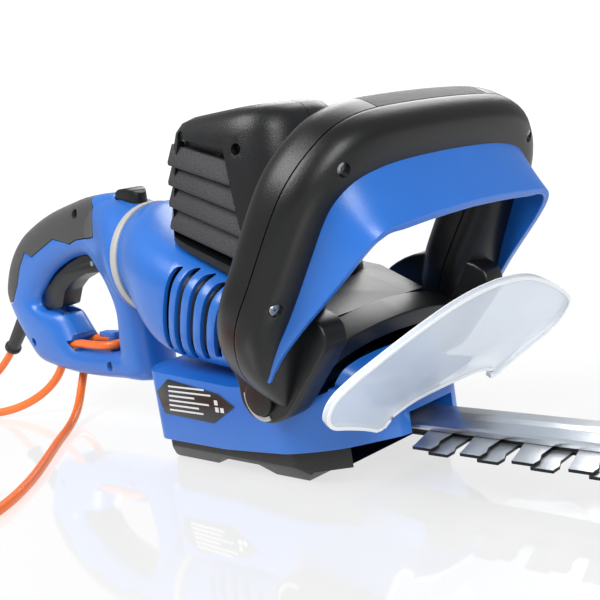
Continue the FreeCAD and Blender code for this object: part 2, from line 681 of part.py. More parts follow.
def make_rear_handle():
    outer = rear_solid(0)
    core = rear_solid(GRIP_SKIN)
    region = Part.Face(outline(grip_region(), side_plane(-60))).extrude(V(0, 120, 0))
    grip = biggest(outer.common(region).cut(core))
    shell = outer.cut(region).fuse(core.common(region)).removeSplitter()
    cavity = rear_solid(REAR_WALL + GRIP_SKIN)
    low = box(-340, WEB_X - 3, -40, 40, 20, 62)
    shell = shell.cut(cavity.cut(low))
    bore = cylinder(SLEEVE_RADIUS + FIT, 30, (WEB_X - 1, 0, SWIVEL_Z), (1, 0, 0))
    seat = cylinder(SLEEVE_RADIUS + 4.5, 12, (WEB_X - 12, 0, SWIVEL_Z), (1, 0, 0))
    shell = shell.cut(bore).cut(seat)
    shell = shell.cut(prism_xz(trigger_pocket(), -TRIGGER_HALF - GAP, TRIGGER_HALF + GAP))
    shell = shell.cut(relief_solid(0.0))
    # Cord slot through the lower bar, and the channel with its post.
    slot = prism_xy([(SLOT_X[0], -SLOT_HALF, 6), (SLOT_X[0], SLOT_HALF, 6), (SLOT_X[1], SLOT_HALF),
                     (SLOT_X[1], -SLOT_HALF)], 20, 64)
    channel = prism_xy([(SLOT_X[1] - 1, -SLOT_HALF), (SLOT_X[1] - 1, SLOT_HALF), (-229, SLOT_HALF, 10),
                        (-229, -SLOT_HALF, 10)], 55.6, 68)
    post = cylinder(HOOK_RADIUS, 12, (HOOK_X, 0, 54), (0, 0, 1))
    lip = prism_xy([(HOOK_X - 16, -4, 3), (HOOK_X - 16, 4, 3), (HOOK_X + 5, 5, 3), (HOOK_X + 5, -5, 3)], 66, 70)
    shell = shell.cut(slot).cut(channel.cut(post)).fuse([post, lip])
    for hole in button_hole(GAP), trigger_pin(0.0):
        shell = shell.cut(hole)
    group = screws(REAR_SCREWS, (0, -1, 0), 2.0, 20.0, 3.6, 2.5)
    for place in REAR_SCREWS:
        shell = shell.cut(cylinder(3.7, 40, (place[0], place[1] - 38, place[2]), (0, 1, 0)))
    shell = shell.cut(group)
    grip = grip.cut(cylinder(3.7, 40, (REAR_SCREWS[0][0], -50, REAR_SCREWS[0][2]), (0, 1, 0)))
    right, left = halves(shell)
    keep("rear_handle_right", biggest(right))
    keep("rear_handle_left", biggest(left))
    keep("rear_grip", biggest(grip))
    keep("rear_handle_screws", group)
    keep("strain_relief", biggest(relief_solid(0.0)))
    keep("trigger_pin", trigger_pin(0.0))


def trigger_pin(grow):
    return cylinder(2.0 + grow, 24, (TRIGGER_PIVOT[0], -12, TRIGGER_PIVOT[1]), (0, 1, 0))


def make_trigger():
    lever = prism_xz(trigger_profile(), -TRIGGER_HALF, TRIGGER_HALF)
    lever = lever.cut(trigger_pin(FIT))
    keep("trigger", lever)
    # The switch block stands above the trigger, clear of its travel.
    block = box(-318, -276, -7, 7, 142, 152)
    keep("switch_block", block)


def button_outline(grow):
    half = BUTTON_HALF + grow
    return [(BUTTON_X[0] - grow, -half, half * 0.95), (BUTTON_X[0] - grow, half, half * 0.95),
            (BUTTON_X[1] + grow, half, half * 0.95), (BUTTON_X[1] + grow, -half, half * 0.95)]


def button_hole(grow):
    return prism_xy(button_outline(grow), 161.5, 190)


def make_lock_button():
    """Oval push button on the collar that frees the handle to turn."""
    body = prism_xy(button_outline(0), 165.5, 190)
    dome = prism_xz([(BUTTON_X[0] - 2, 160), (BUTTON_X[0] - 2, 173), (BUTTON_X[0] + 8, 178.5, 14),
                     (BUTTON_X[1] - 6, 178.5, 12), (BUTTON_X[1] + 2, 172), (BUTTON_X[1] + 2, 160)], -20, 20)
    keep("handle_lock_button", body.common(dome))


def make_swivel():
    """The printed angle ring and the sleeve that the rear handle turns on."""
    ring_x = NECK_X - RING_LENGTH
    keep("angle_ring", ring(RING_RADIUS, SLEEVE_RADIUS + 6, RING_LENGTH, (ring_x, 0, SWIVEL_Z), (1, 0, 0)))
    rear = WEB_X - GAP
    tube = cylinder(SLEEVE_RADIUS, NECK_X + 4 - rear, (rear, 0, SWIVEL_Z), (1, 0, 0))
    collar = cylinder(SLEEVE_RADIUS + 3.5, 3, (rear - 3, 0, SWIVEL_Z), (1, 0, 0))
    flange = cylinder(NECK_RADIUS - WALL - 0.6, 4, (NECK_X, 0, SWIVEL_Z), (1, 0, 0))
    inside = cylinder(SLEEVE_RADIUS - WALL, 60, (rear - 10, 0, SWIVEL_Z), (1, 0, 0))
    keep("swivel_sleeve", fuse([tube, collar, flange]).cut(inside))


# ---- Blades -------------------------------------------------------------------------------
def tooth(x):
    """One tooth on the right edge of a blade; it leans forward to its squared toe."""
    shape = [(0.8, BLADE_HALF_WIDTH), (1.6, TOOTH_REACH - 12), (4.6, TOOTH_REACH - 6), (4.6, TOOTH_REACH),
             (-7.4, TOOTH_REACH), (-8.4, TOOTH_REACH - 4), (-15.4, BLADE_HALF_WIDTH)]
    return [(x + dx, -y) for dx, y in shape]


def blade_shape(z, offset):
    """A flat strip with its teeth as separate solids that meet its edge face to face."""
    rear = GEAR_X - BLADE_STROKE * 2 - CRANK_PIN_RADIUS - 10
    end = BLADE_END_X + offset
    strip = prism_xy([(rear, -BLADE_HALF_WIDTH, 5), (rear, BLADE_HALF_WIDTH, 5), (end, BLADE_HALF_WIDTH, 8),
                      (end, -BLADE_HALF_WIDTH, 8)], z, z + BLADE_WALL)
    reach = BLADE_STROKE + BOLT_RADIUS + 0.6
    half = BOLT_RADIUS + 0.3
    slots = []
    for x in BOLT_XS:
        slots.append(prism_xy([(x - reach, -half, half * 0.98), (x - reach, half, half * 0.98),
                               (x + reach, half, half * 0.98), (x + reach, -half, half * 0.98)],
                              z - 1, z + BLADE_WALL + 1))
    # A window lets both crank pins pass at every angle and every stroke.
    wide = 2 * BLADE_STROKE + CRANK_PIN_RADIUS + 0.5
    tall = BLADE_STROKE + CRANK_PIN_RADIUS + 0.5
    slots.append(box(GEAR_X - wide, GEAR_X + wide, -tall, tall, z - 1, z + BLADE_WALL + 1))
    solids = [strip.cut(slots).removeSplitter()]
    for i in range(TOOTH_COUNT):
        solids.append(prism_xy(tooth(FIRST_TOOTH_X + i * TOOTH_PITCH + offset), z, z + BLADE_WALL))
    return Part.makeCompound(solids)


def make_blades():
    keep("lower_blade", blade_shape(BLADE_Z, 0.0))
    keep("upper_blade", blade_shape(UPPER_BLADE_Z, UPPER_OFFSET))


def make_blade_bar():
    """Aluminium channel that covers and stiffens the blades."""
    half = BAR_HALF_WIDTH
    rear = 42.0
    points = [(-half, BAR_Z), (-half, BAR_Z + BAR_HEIGHT - 1.6), (-half + 1.5, BAR_Z + BAR_HEIGHT - 0.6),
              (-5, BAR_Z + BAR_HEIGHT), (5, BAR_Z + BAR_HEIGHT), (half - 1.5, BAR_Z + BAR_HEIGHT - 0.6),
              (half, BAR_Z + BAR_HEIGHT - 1.6), (half, BAR_Z), (half - 1.5, BAR_Z),
              (half - 1.5, BAR_Z + BAR_HEIGHT - BAR_WALL - 1), (7, BAR_Z + BAR_HEIGHT - BAR_WALL - 0.6),
              (7, BAR_Z), (-7, BAR_Z), (-7, BAR_Z + BAR_HEIGHT - BAR_WALL - 0.6),
              (-half + 1.5, BAR_Z + BAR_HEIGHT - BAR_WALL - 1), (-half + 1.5, BAR_Z)]
    bar = prism_yz(points, rear, BAR_END_X)
    nose = prism_xy([(rear - 1, -half - 1), (rear - 1, half + 1), (BAR_END_X, half + 1, half * 0.9),
                     (BAR_END_X, -half - 1, half * 0.9)], BAR_Z - 1, BAR_Z + BAR_HEIGHT + 1)
    bar = bar.common(nose)
    bolts = []
    nuts = []
    top = BAR_Z + BAR_HEIGHT
    for x in BOLT_XS:
        shank = cylinder(BOLT_RADIUS, top - BLADE_Z + 6.0, (x, 0, BLADE_Z - 6.0), (0, 0, 1))
        bar = bar.cut(shank)
        head = cylinder(5.5, 2.4, (x, 0, top), (0, 0, 1))
        bolts.append(shank.fuse(head).removeSplitter())
        nut = prism_xy([(x + 5.5 * math.cos(math.radians(a)), 5.5 * math.sin(math.radians(a)))
                        for a in range(0, 360, 60)], BLADE_Z - BLADE_GAP - 4.0, BLADE_Z - BLADE_GAP)
        nuts.append(nut.cut(shank))
    keep("blade_bar", bar)
    keep("blade_bolts", Part.makeCompound(bolts))
    keep("blade_nuts", Part.makeCompound(nuts))


# ---- Gear train and motor -----------------------------------------------------------------
def gear_profile(teeth, phase):
    """Straight-flanked teeth with a short addendum, as a closed polygon about the origin."""
    pitch_radius = GEAR_MODULE * teeth / 2
    outer = pitch_radius + 0.8 * GEAR_MODULE
    root = pitch_radius - 1.15 * GEAR_MODULE
    step = 2 * math.pi / teeth
    half_pitch = step / 4 - 0.22 / pitch_radius
    slope = math.tan(math.radians(22))
    half_tip = half_pitch - (outer - pitch_radius) * slope / pitch_radius
    half_root = half_pitch + (pitch_radius - root) * slope / pitch_radius
    points = []
    for i in range(teeth):
        middle = phase + i * step
        for radius, angle in ((root, -half_root), (outer, -half_tip), (outer, half_tip), (root, half_root)):
            points.append((radius * math.cos(middle + angle), radius * math.sin(middle + angle)))
    return points


def make_gears():
    gear_points = [(GEAR_X + x, y) for x, y in gear_profile(GEAR_TEETH, math.pi)]
    gear = prism_xy(gear_points, GEAR_Z, GEAR_Z + GEAR_HEIGHT)
    shaft_radius = 5.0
    shaft = cylinder(shaft_radius, 16, (GEAR_X, 0, GEAR_Z), (0, 0, 1))
    keep("drive_gear", gear.cut(shaft))
    keep("gear_shaft", shaft)
    # The crank disc turns in the gearbox plate and carries one pin for each blade.
    disc = cylinder(CRANK_DISC_RADIUS, 11, (GEAR_X, 0, GEAR_Z - 11), (0, 0, 1))
    upper_pin = cylinder(CRANK_PIN_RADIUS, GEAR_Z - 10 - UPPER_BLADE_Z, (GEAR_X, BLADE_STROKE, UPPER_BLADE_Z),
                         (0, 0, 1))
    lower_pin = cylinder(CRANK_PIN_RADIUS, GEAR_Z - 10 - BLADE_Z, (GEAR_X, -BLADE_STROKE, BLADE_Z), (0, 0, 1))
    keep("crank_disc", fuse([disc, upper_pin, lower_pin]))
    phase = math.pi / PINION_TEETH
    pinion_points = [(MOTOR_X + x, y) for x, y in gear_profile(PINION_TEETH, phase)]
    motor_shaft = cylinder(MOTOR_SHAFT_RADIUS, 160, (MOTOR_X, 0, 36), (0, 0, 1))
    keep("pinion", prism_xy(pinion_points, GEAR_Z - 1, GEAR_Z + GEAR_HEIGHT + 1).cut(motor_shaft))
    keep("motor_shaft", motor_shaft)
    plate = prism_xy([(-80, -44, 8), (-80, 44, 8), (20, 44, 20), (NOSE_X - 14, 18, 6), (NOSE_X - 14, -18, 6),
                      (20, -44, 20)],
                     GEAR_Z - 11, GEAR_Z - 7)
    plate = plate.cut(cylinder(CRANK_DISC_RADIUS + FIT, 10, (GEAR_X, 0, GEAR_Z - 14), (0, 0, 1)))
    plate = plate.cut(cylinder(MOTOR_SHAFT_RADIUS + FIT, 10, (MOTOR_X, 0, GEAR_Z - 14), (0, 0, 1)))
    keep("gearbox_plate", plate)
    # The bridge holds the top of the gear shaft.
    top = GEAR_Z + GEAR_HEIGHT + 3
    bridge = box(GEAR_X - 10, GEAR_X + 10, -46, 46, top, top + 4)
    for side in (-1, 1):
        inner, outer = sorted((side * 42.0, side * 46.0))
        bridge = bridge.fuse(box(GEAR_X - 10, GEAR_X + 10, inner, outer, GEAR_Z - 7, top))
    bridge = bridge.removeSplitter().cut(cylinder(shaft_radius + FIT, 10, (GEAR_X, 0, top - 3), (0, 0, 1)))
    keep("gear_bridge", bridge.cut(plate))


def make_motor():
    axis = (0, 0, 1)
    shaft = PARTS["motor_shaft"]
    hub = cylinder(8, 10, (MOTOR_X, 0, FAN_Z), axis)
    plate = cylinder(29, 1.6, (MOTOR_X, 0, FAN_Z), axis)
    vanes = []
    for i in range(12):
        vane = box(9, 28, -0.8, 0.8, FAN_Z + 1, FAN_Z + 9)
        vane.rotate(V(0, 0, 0), V(0, 0, 1), 30 * i + 12)
        vane.translate(V(MOTOR_X, 0, 0))
        vanes.append(vane)
    keep("cooling_fan", fuse([hub, plate] + vanes).cut(shaft))
    core = cylinder(18, 52, (MOTOR_X, 0, 112), axis)
    slots = [box(MOTOR_X + 12, MOTOR_X + 20, -1.2, 1.2, 111, 165)]
    for i in range(1, 12):
        slot = slots[0].copy()
        slot.rotate(V(MOTOR_X, 0, 0), V(0, 0, 1), 30 * i)
        slots.append(slot)
    keep("armature", core.cut(slots).cut(shaft))
    keep("commutator", cylinder(11, 14, (MOTOR_X, 0, 170), axis).cut(shaft))
    stator = ring(STATOR_RADIUS, 19.5, 46, (MOTOR_X, 0, 115), axis)
    windows = []
    for side in (-1, 1):
        centre = (MOTOR_X, side * 25.0)
        windows.append(box(centre[0] - 14, centre[0] + 14, centre[1] - 4, centre[1] + 4, 114, 162))
    keep("motor_stator", biggest(stator.cut(windows)))
    coils = [box(MOTOR_X - 13.6, MOTOR_X + 13.6, s * 25.0 - 3.7, s * 25.0 + 3.7, 108, 166) for s in (-1, 1)]
    keep("field_coils", Part.makeCompound(coils))
    for name, z in (("lower_bearing", 79.0), ("upper_bearing", 188.0)):
        keep(name, ring(11, MOTOR_SHAFT_RADIUS + FIT, 7, (MOTOR_X, 0, z), axis))
    bracket = prism_xy([(MOTOR_X - 30, -50, 10), (MOTOR_X - 30, 50, 10), (MOTOR_X + 30, 50, 10),
                        (MOTOR_X + 30, -50, 10)], 76, 82)
    bracket = bracket.cut(cylinder(11, 3, (MOTOR_X, 0, 79), axis)).cut(cylinder(9, 10, (MOTOR_X, 0, 75), axis))
    keep("motor_bracket", bracket)
    holder = box(MOTOR_X - 14, MOTOR_X + 14, -32, 32, 186, 191).cut(cylinder(11, 12, (MOTOR_X, 0, 185), axis))
    keep("bearing_holder", holder)
    brushes = [box(MOTOR_X - 4, MOTOR_X + 4, 11.3, 27, 173, 181), box(MOTOR_X - 4, MOTOR_X + 4, -27, -11.3, 173, 181)]
    keep("brush_holders", Part.makeCompound(brushes))


def make_gear_cover():
    """Curved grey cover behind the arch, over the gearbox."""
    angle = math.radians(HANDLE_LEAN)
    height = HANDLE_FLOOR - 2
    front = (height * math.sin(angle) - HANDLE_SEAM * math.cos(angle) - 0.3,
             height * math.cos(angle) + HANDLE_SEAM * math.sin(angle))
    wires = []
    for half, drop in ((0.0, 0.0), (3.0, 3.0)):
        wires.append(prism_xz([(front[0], front[1] - drop), (2, 109 - drop), (-14, 112 - drop), (-14, 84),
                               (front[0], 84)], -42 + half, 42 - half))
    cover = wires[0].cut(wires[1])
    body = fuse([upper_body(-0.2), skirt(-0.2)])
    cover = cover.cut(body).cut(cowl_block(-0.3))
    cover = cover.cut(slab(arch_points(0.3), handle_plane, -HANDLE_SEAM - 0.3, 3))
    cover = cover.cut(PARTS["front_handle_front"])
    keep("gear_cover", biggest(cover))


# ---- Cord ---------------------------------------------------------------------------------
def lead_points():
    """The cord from the strain relief, over the hook and across the floor to the coil."""
    end = relief_line(RELIEF_LENGTH)
    out = relief_line(RELIEF_LENGTH + 13)
    slot_y = SLOT_HALF - CORD_R - 1.7
    coil_x = COIL_CENTRE[0] + COIL_OUTER - CORD_R
    coil_y = COIL_CENTRE[1]
    return [(end.x, 0, end.z), (out.x, out.y, out.z), (-450, -5, 25), (-466, -20, 11), (-469, -42, 4.5),
            (-454, -60, FLOOR_Z), (-427, -62, FLOOR_Z), (-398, -51, FLOOR_Z), (-370, -37, 5),
            (-344, -22, 15), (-323, -11.5, 32), (-311, -slot_y, 52), (-292, -slot_y + 0.6, 61.5),
            (-263, -slot_y - 0.5, 60.5), (HOOK_X + 8.5, -slot_y, 61), (HOOK_X + 8.5, slot_y, 61),
            (-263, slot_y + 0.5, 60.5), (-293, slot_y - 0.8, 62), (-304.5, 6, 46), (-302.5, -3.5, 26),
            (-288, -20, 9), (-266, -42, FLOOR_Z), (-238, -69, FLOOR_Z), (-206, -97, FLOOR_Z),
            (-172, -128, FLOOR_Z), (-145, -160, FLOOR_Z), (-129, -193, FLOOR_Z),
            (coil_x, coil_y - 3, FLOOR_Z)]


def tail_points():
    """The last of the cord, from the coil down to the plug."""
    x, y = COIL_CENTRE
    side = y - COIL_OUTER
    return [(x + 4, side + CORD_R, 17), (x - 24, side - 1, 13), (x - 48, side + 2, PLUG_CORD_Z),
            (x - 64, side + 3, PLUG_CORD_Z)]


def cord_tube(name, route):
    """A tube of straight runs and tangent arcs; prints its arcs' radii and checks its volume."""
    points = [V(*p) for p in route]
    edges = []
    length = 0.0
    radii = []
    here = points[0]
    for before, corner, after in zip(points, points[1:], points[2:]):
        u = (before - corner).normalize()
        v = (after - corner).normalize()
        half = u.getAngle(v) / 2
        cut = 0.45 * min(corner.distanceToPoint(before), corner.distanceToPoint(after))
        radius = cut * math.tan(half)
        start = corner + u * cut
        end = corner + v * cut
        apex = corner + (u + v).normalize() * (radius / math.sin(half) - radius)
        if here.distanceToPoint(start) > 1e-5:
            edges.append(Part.LineSegment(here, start).toShape())
            length += here.distanceToPoint(start)
        edges.append(Part.Arc(start, apex, end).toShape())
        length += radius * (math.pi - 2 * half)
        radii.append(radius)
        here = end
    edges.append(Part.LineSegment(here, points[-1]).toShape())
    length += here.distanceToPoint(points[-1])
    path = Part.Wire(edges)
    circle = Part.Wire(Part.makeCircle(CORD_R, points[0], points[1] - points[0]))
    tube = path.makePipeShell([circle], True, False)
    ideal = math.pi * CORD_R ** 2 * length
    print("%s: length %.0f, volume ratio %.4f, radii %s" %
          (name, length, tube.Volume / ideal, " ".join("%.0f" % r for r in radii)))
    keep(name, tube)
    return length


def make_cord():
    lead = cord_tube("mains_cord", lead_points())
    tail = cord_tube("cord_tail", tail_points())
    turns = (CORD_LENGTH - lead - tail) / (2 * math.pi * COIL_MEAN_RADIUS)
    print("coil turns %.2f of %d places" % (turns, COIL_COLUMNS * COIL_ROWS))
    x, y = COIL_CENTRE
    profile = [(COIL_INNER, 0.1, 3), (COIL_OUTER, 0.1, 3), (COIL_OUTER, COIL_HEIGHT, 3),
               (COIL_INNER, COIL_HEIGHT, 3)]
    wire = outline(profile, lambda r, z: V(x + r, y, z))
    coil = Part.Face(wire).revolve(V(x, y, 0), V(0, 0, 1), 360)
    near, far = y + COIL_INNER - 0.3, y + COIL_OUTER + 0.3
    tie = box(x - 4, x + 4, near - 1, far + 1, 0, COIL_HEIGHT + 1.4)
    hole = box(x - 5, x + 5, near, far, 0.05, COIL_HEIGHT + 0.4)
    keep("cord_coil", coil)
    keep("cord_tie", tie.cut(hole).cut(coil))
    end = tail_points()[-1]
    before = tail_points()[-2]
    angle = math.degrees(math.atan2(end[1] - before[1], end[0] - before[0]))
    body = prism_xy([(0, -10, 4), (10, -24, 8), (46, -25, 8), (46, 25, 8), (10, 24, 8), (0, 10, 4)], 0, 21)
    prongs = [box(30, 34, -4, 4, 21, 44), box(14, 20, -13, -9, 21, 39), box(14, 20, 9, 13, 21, 39)]
    pins = Part.makeCompound(prongs)
    for shape in (body, pins):
        shape.rotate(V(0, 0, 0), V(0, 0, 1), angle)
        shape.translate(V(end[0], end[1], 0))
    keep("mains_plug", body)
    keep("plug_pins", pins)


# ---- Build --------------------------------------------------------------------------------
def main():
    make_housing()
    make_base_plate()
    make_label()
    make_cowl()
    make_front_handle()
    make_bail()
    make_leg_caps()
    make_guard()
    make_gear_cover()
    make_rear_handle()
    make_trigger()
    make_lock_button()
    make_swivel()
    make_blades()
    make_blade_bar()
    make_gears()
    make_motor()
    make_cord()
    os.makedirs("parts", exist_ok=True)
    for name, shape in PARTS.items():
        shape.exportStep("parts/%s.step" % name)
        print("%-22s %9.0f mm3 %s" % (name, shape.Volume, "valid" if shape.isValid() else "INVALID"))


main()
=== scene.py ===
"""Corded hedge trimmer: looks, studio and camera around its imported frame. Sizes in the classes are millimetres."""
import json
import logging
import math
from dataclasses import dataclass
from enum import Enum
from typing import Callable, Sequence

import bpy
from mathutils import Matrix, Vector


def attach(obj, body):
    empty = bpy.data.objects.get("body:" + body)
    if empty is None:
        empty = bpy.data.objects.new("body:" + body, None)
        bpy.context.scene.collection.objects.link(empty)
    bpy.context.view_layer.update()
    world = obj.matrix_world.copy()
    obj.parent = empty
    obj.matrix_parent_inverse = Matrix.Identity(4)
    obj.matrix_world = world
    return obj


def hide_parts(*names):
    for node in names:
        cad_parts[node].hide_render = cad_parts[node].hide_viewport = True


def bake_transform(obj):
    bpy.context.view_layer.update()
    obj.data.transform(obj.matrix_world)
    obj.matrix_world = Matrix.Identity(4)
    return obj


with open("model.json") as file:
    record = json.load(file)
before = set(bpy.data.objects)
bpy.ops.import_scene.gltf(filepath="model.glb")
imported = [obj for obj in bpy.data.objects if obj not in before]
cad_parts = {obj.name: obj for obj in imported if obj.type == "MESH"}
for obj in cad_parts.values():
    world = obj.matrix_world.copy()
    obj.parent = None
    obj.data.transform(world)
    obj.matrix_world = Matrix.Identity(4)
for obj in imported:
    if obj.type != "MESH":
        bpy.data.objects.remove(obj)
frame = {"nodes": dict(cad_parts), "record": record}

MM = 0.001
Point2 = tuple[float, float]
Point3 = tuple[float, float, float]
Placer = Callable[[float, float, float], Vector]
log = logging.getLogger("trimmer")
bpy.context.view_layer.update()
BODY_OF: dict[str, str] = {n: b for b, ns in frame["record"]["behaviour"]["bodies"].items() for n in ns}
SLOT_OF: dict[str, str] = {s["node"]: s["material_slot"] for s in frame["record"]["subparts"]}


# ---- Finishes -----------------------------------------------------------------------------
class Surface(Enum):
    """The finishes, each named for what it is."""

    BLUE_ABS = "satin moulded blue ABS"
    BLACK_NYLON = "spark-textured black nylon"
    COWL_NYLON = "textured charcoal nylon"
    # The slats' grey is painted highlight on their lips.
    SLAT_NYLON_PAINTED_HIGHLIGHT = "textured nylon painted grey as highlight"
    SOFT_GRIP = "matt moulded rubber"
    BASE_PP = "black polypropylene"
    GUARD_PC = "milky polycarbonate"
    RING_ABS = "light grey ABS"
    LABEL_FILM = "printed polyester film"
    LABEL_INK = "white screen ink"
    BAR_ALUMINIUM = "drawn and brushed aluminium"
    BLADE_STEEL = "ground tool steel"
    BLADE_SIDES_AND_PAINTED_SHADE = "dark cut sides of the blades and painted shade"
    GUARD_EDGE_PAINTED_HIGHLIGHT = "guard edge painted near-white as highlight"
    ZINC_STEEL = "bright zinc-plated steel"
    GEAR_STEEL = "sintered steel"
    LAMINATION = "stacked silicon-steel laminations"
    COPPER = "enamelled copper wire"
    CORD_PVC = "orange PVC sheath"
    PLUG_PVC = "black moulded PVC"
    BRASS = "turned brass"
    FAN_PA = "black polyamide fan"


@dataclass(frozen=True)
class Finish:
    """What one surface is made of and how it was made.

    Colours are sRGB hex values; grain and streak sizes are real millimetres.
    """

    colour: str
    shade: str
    roughness: float
    ior: float = 1.5
    metallic: float = 0.0
    grain_mm: float = 0.8
    relief_mm: float = 0.02
    spread: float = 0.06
    streak: tuple[float, float, float] = (1.0, 1.0, 1.0)
    coat: float = 0.0
    sheen: float = 0.0
    alpha: float = 1.0
    subsurface: float = 0.0


FINISHES: dict[Surface, Finish] = {
    # ABS from a lightly textured tool: an even satin with a soft highlight.
    Surface.BLUE_ABS: Finish("#1D6BC6", "#175EB4", 0.34, 1.53, grain_mm=0.9, relief_mm=0.012, coat=0.12),
    # Glass-filled nylon: a fine pebble that breaks the highlight up.
    Surface.BLACK_NYLON: Finish("#0C0D0F", "#08090A", 0.36, 1.42, grain_mm=1.1, relief_mm=0.012),
    Surface.COWL_NYLON: Finish("#121316", "#0C0D0F", 0.38, 1.42, grain_mm=1.2, relief_mm=0.018),
    # The slats are painted greyer than the hood: painted highlight along their lips. Their coarse grain is real.
    Surface.SLAT_NYLON_PAINTED_HIGHLIGHT: Finish("#2E2C31", "#222126", 0.6, 1.53, grain_mm=1.4, relief_mm=0.09, spread=0.1),
    Surface.SOFT_GRIP: Finish("#151618", "#0E0F11", 0.66, 1.5, grain_mm=1.0, relief_mm=0.06, sheen=0.25),
    Surface.BASE_PP: Finish("#08090A", "#050606", 0.42, 1.49, grain_mm=1.3, relief_mm=0.03),
    # Milky sheet that lets some of what is behind it through.
    Surface.GUARD_PC: Finish("#DBE4EF", "#CCD8E8", 0.14, 1.58, grain_mm=18.0, relief_mm=0.0, coat=0.3,
                             alpha=0.62),
    Surface.RING_ABS: Finish("#B4B3B1", "#A2A1A0", 0.38, 1.53, grain_mm=0.8),
    Surface.LABEL_FILM: Finish("#101114", "#0B0C0E", 0.32, 1.57, grain_mm=2.0, relief_mm=0.004),
    Surface.LABEL_INK: Finish("#D9DBDD", "#CCCED0", 0.5, 1.5, grain_mm=1.0, relief_mm=0.0),
    # Drawing leaves streaks along the bar.
    Surface.BAR_ALUMINIUM: Finish("#DDE0E3", "#CDD1D5", 0.34, metallic=1.0, grain_mm=0.7, relief_mm=0.01,
                                  streak=(0.02, 1.0, 1.0)),
    Surface.BLADE_STEEL: Finish("#D9DBDD", "#C2C5C8", 0.46, metallic=1.0, grain_mm=0.8, relief_mm=0.015,
                                spread=0.12, streak=(1.0, 0.06, 1.0)),
    # Dark cut sides of the blades, also used as painted shade on every face that doesn't point up.
    Surface.BLADE_SIDES_AND_PAINTED_SHADE: Finish("#1C1E22", "#101216", 0.4, metallic=0.6, grain_mm=0.6, relief_mm=0.02),
    # The rim is painted near-white and nearly opaque: a painted highlight along the guard's edge.
    Surface.GUARD_EDGE_PAINTED_HIGHLIGHT: Finish("#F4F6F9", "#E9EDF3", 0.1, 1.58, grain_mm=4.0, relief_mm=0.0, coat=0.4, alpha=0.9),
    Surface.ZINC_STEEL: Finish("#A9ACB0", "#8E9196", 0.3, metallic=1.0, grain_mm=0.6, relief_mm=0.01),
    Surface.GEAR_STEEL: Finish("#85878B", "#67696D", 0.42, metallic=1.0, grain_mm=0.5, relief_mm=0.02),
    Surface.LAMINATION: Finish("#77787B", "#57585B", 0.45, metallic=1.0, grain_mm=0.6, relief_mm=0.03,
                               streak=(0.05, 0.05, 1.0)),
    Surface.COPPER: Finish("#B06A3A", "#8C4E26", 0.3, metallic=1.0, grain_mm=0.7, relief_mm=0.05,
                           streak=(1.0, 1.0, 0.1), coat=0.5),
    Surface.CORD_PVC: Finish("#F07420", "#E26414", 0.38, 1.53, grain_mm=1.6, relief_mm=0.02, coat=0.1),
    Surface.PLUG_PVC: Finish("#191A1C", "#111214", 0.48, 1.53, grain_mm=1.0, relief_mm=0.03),
    Surface.BRASS: Finish("#C8A765", "#AA8A4C", 0.28, metallic=1.0, grain_mm=0.5, relief_mm=0.01),
    Surface.FAN_PA: Finish("#202124", "#17181A", 0.5, 1.53, grain_mm=1.0, relief_mm=0.02),
}

SLOT_SURFACE: dict[str, Surface] = {
    "blue_abs": Surface.BLUE_ABS, "black_nylon": Surface.BLACK_NYLON, "cowl_grey": Surface.COWL_NYLON,
    "soft_grip": Surface.SOFT_GRIP, "base_black": Surface.BASE_PP, "guard_clear": Surface.GUARD_PC,
    "ring_silver": Surface.RING_ABS, "label_black": Surface.LABEL_FILM, "aluminium": Surface.BAR_ALUMINIUM,
    "blade_steel": Surface.BLADE_STEEL, "steel": Surface.ZINC_STEEL, "gear_steel": Surface.GEAR_STEEL,
    "laminations": Surface.LAMINATION, "copper": Surface.COPPER, "orange_cord": Surface.CORD_PVC,
    "plug_black": Surface.PLUG_PVC, "pin_brass": Surface.BRASS,
}
_made: dict[Surface, bpy.types.Material] = {}


def linear(colour: str) -> tuple[float, float, float, float]:
    """Turn an sRGB hex colour into linear RGBA.

    Args:
        colour: a "#RRGGBB" value.
    Returns:
        The linear colour, fully opaque.
    """
    parts = [int(colour[i:i + 2], 16) / 255 for i in (1, 3, 5)]
    red, green, blue = [c / 12.92 if c <= 0.04045 else ((c + 0.055) / 1.055) ** 2.4 for c in parts]
    return red, green, blue, 1.0


def node(tree: bpy.types.NodeTree, kind: str, settings: dict[str, object] | None = None,
         inputs: dict[str, object] | None = None) -> bpy.types.Node:
    """Add a shader node with its settings, and set or link its inputs.

    Args:
        tree: the material's node tree.
        kind: the node's Blender type.
        settings: attributes to set on the node.
        inputs: input names with a value, or an output socket to link from.
    Returns:
        The new node.
    """
    made = tree.nodes.new(kind)
    for name, value in (settings or {}).items():
        setattr(made, name, value)
    for name, value in (inputs or {}).items():
        socket = made.inputs[int(name)] if name.isdigit() else made.inputs[name]
        if isinstance(value, bpy.types.NodeSocket):
            tree.links.new(value, socket)
        else:
            socket.default_value = value
    return made


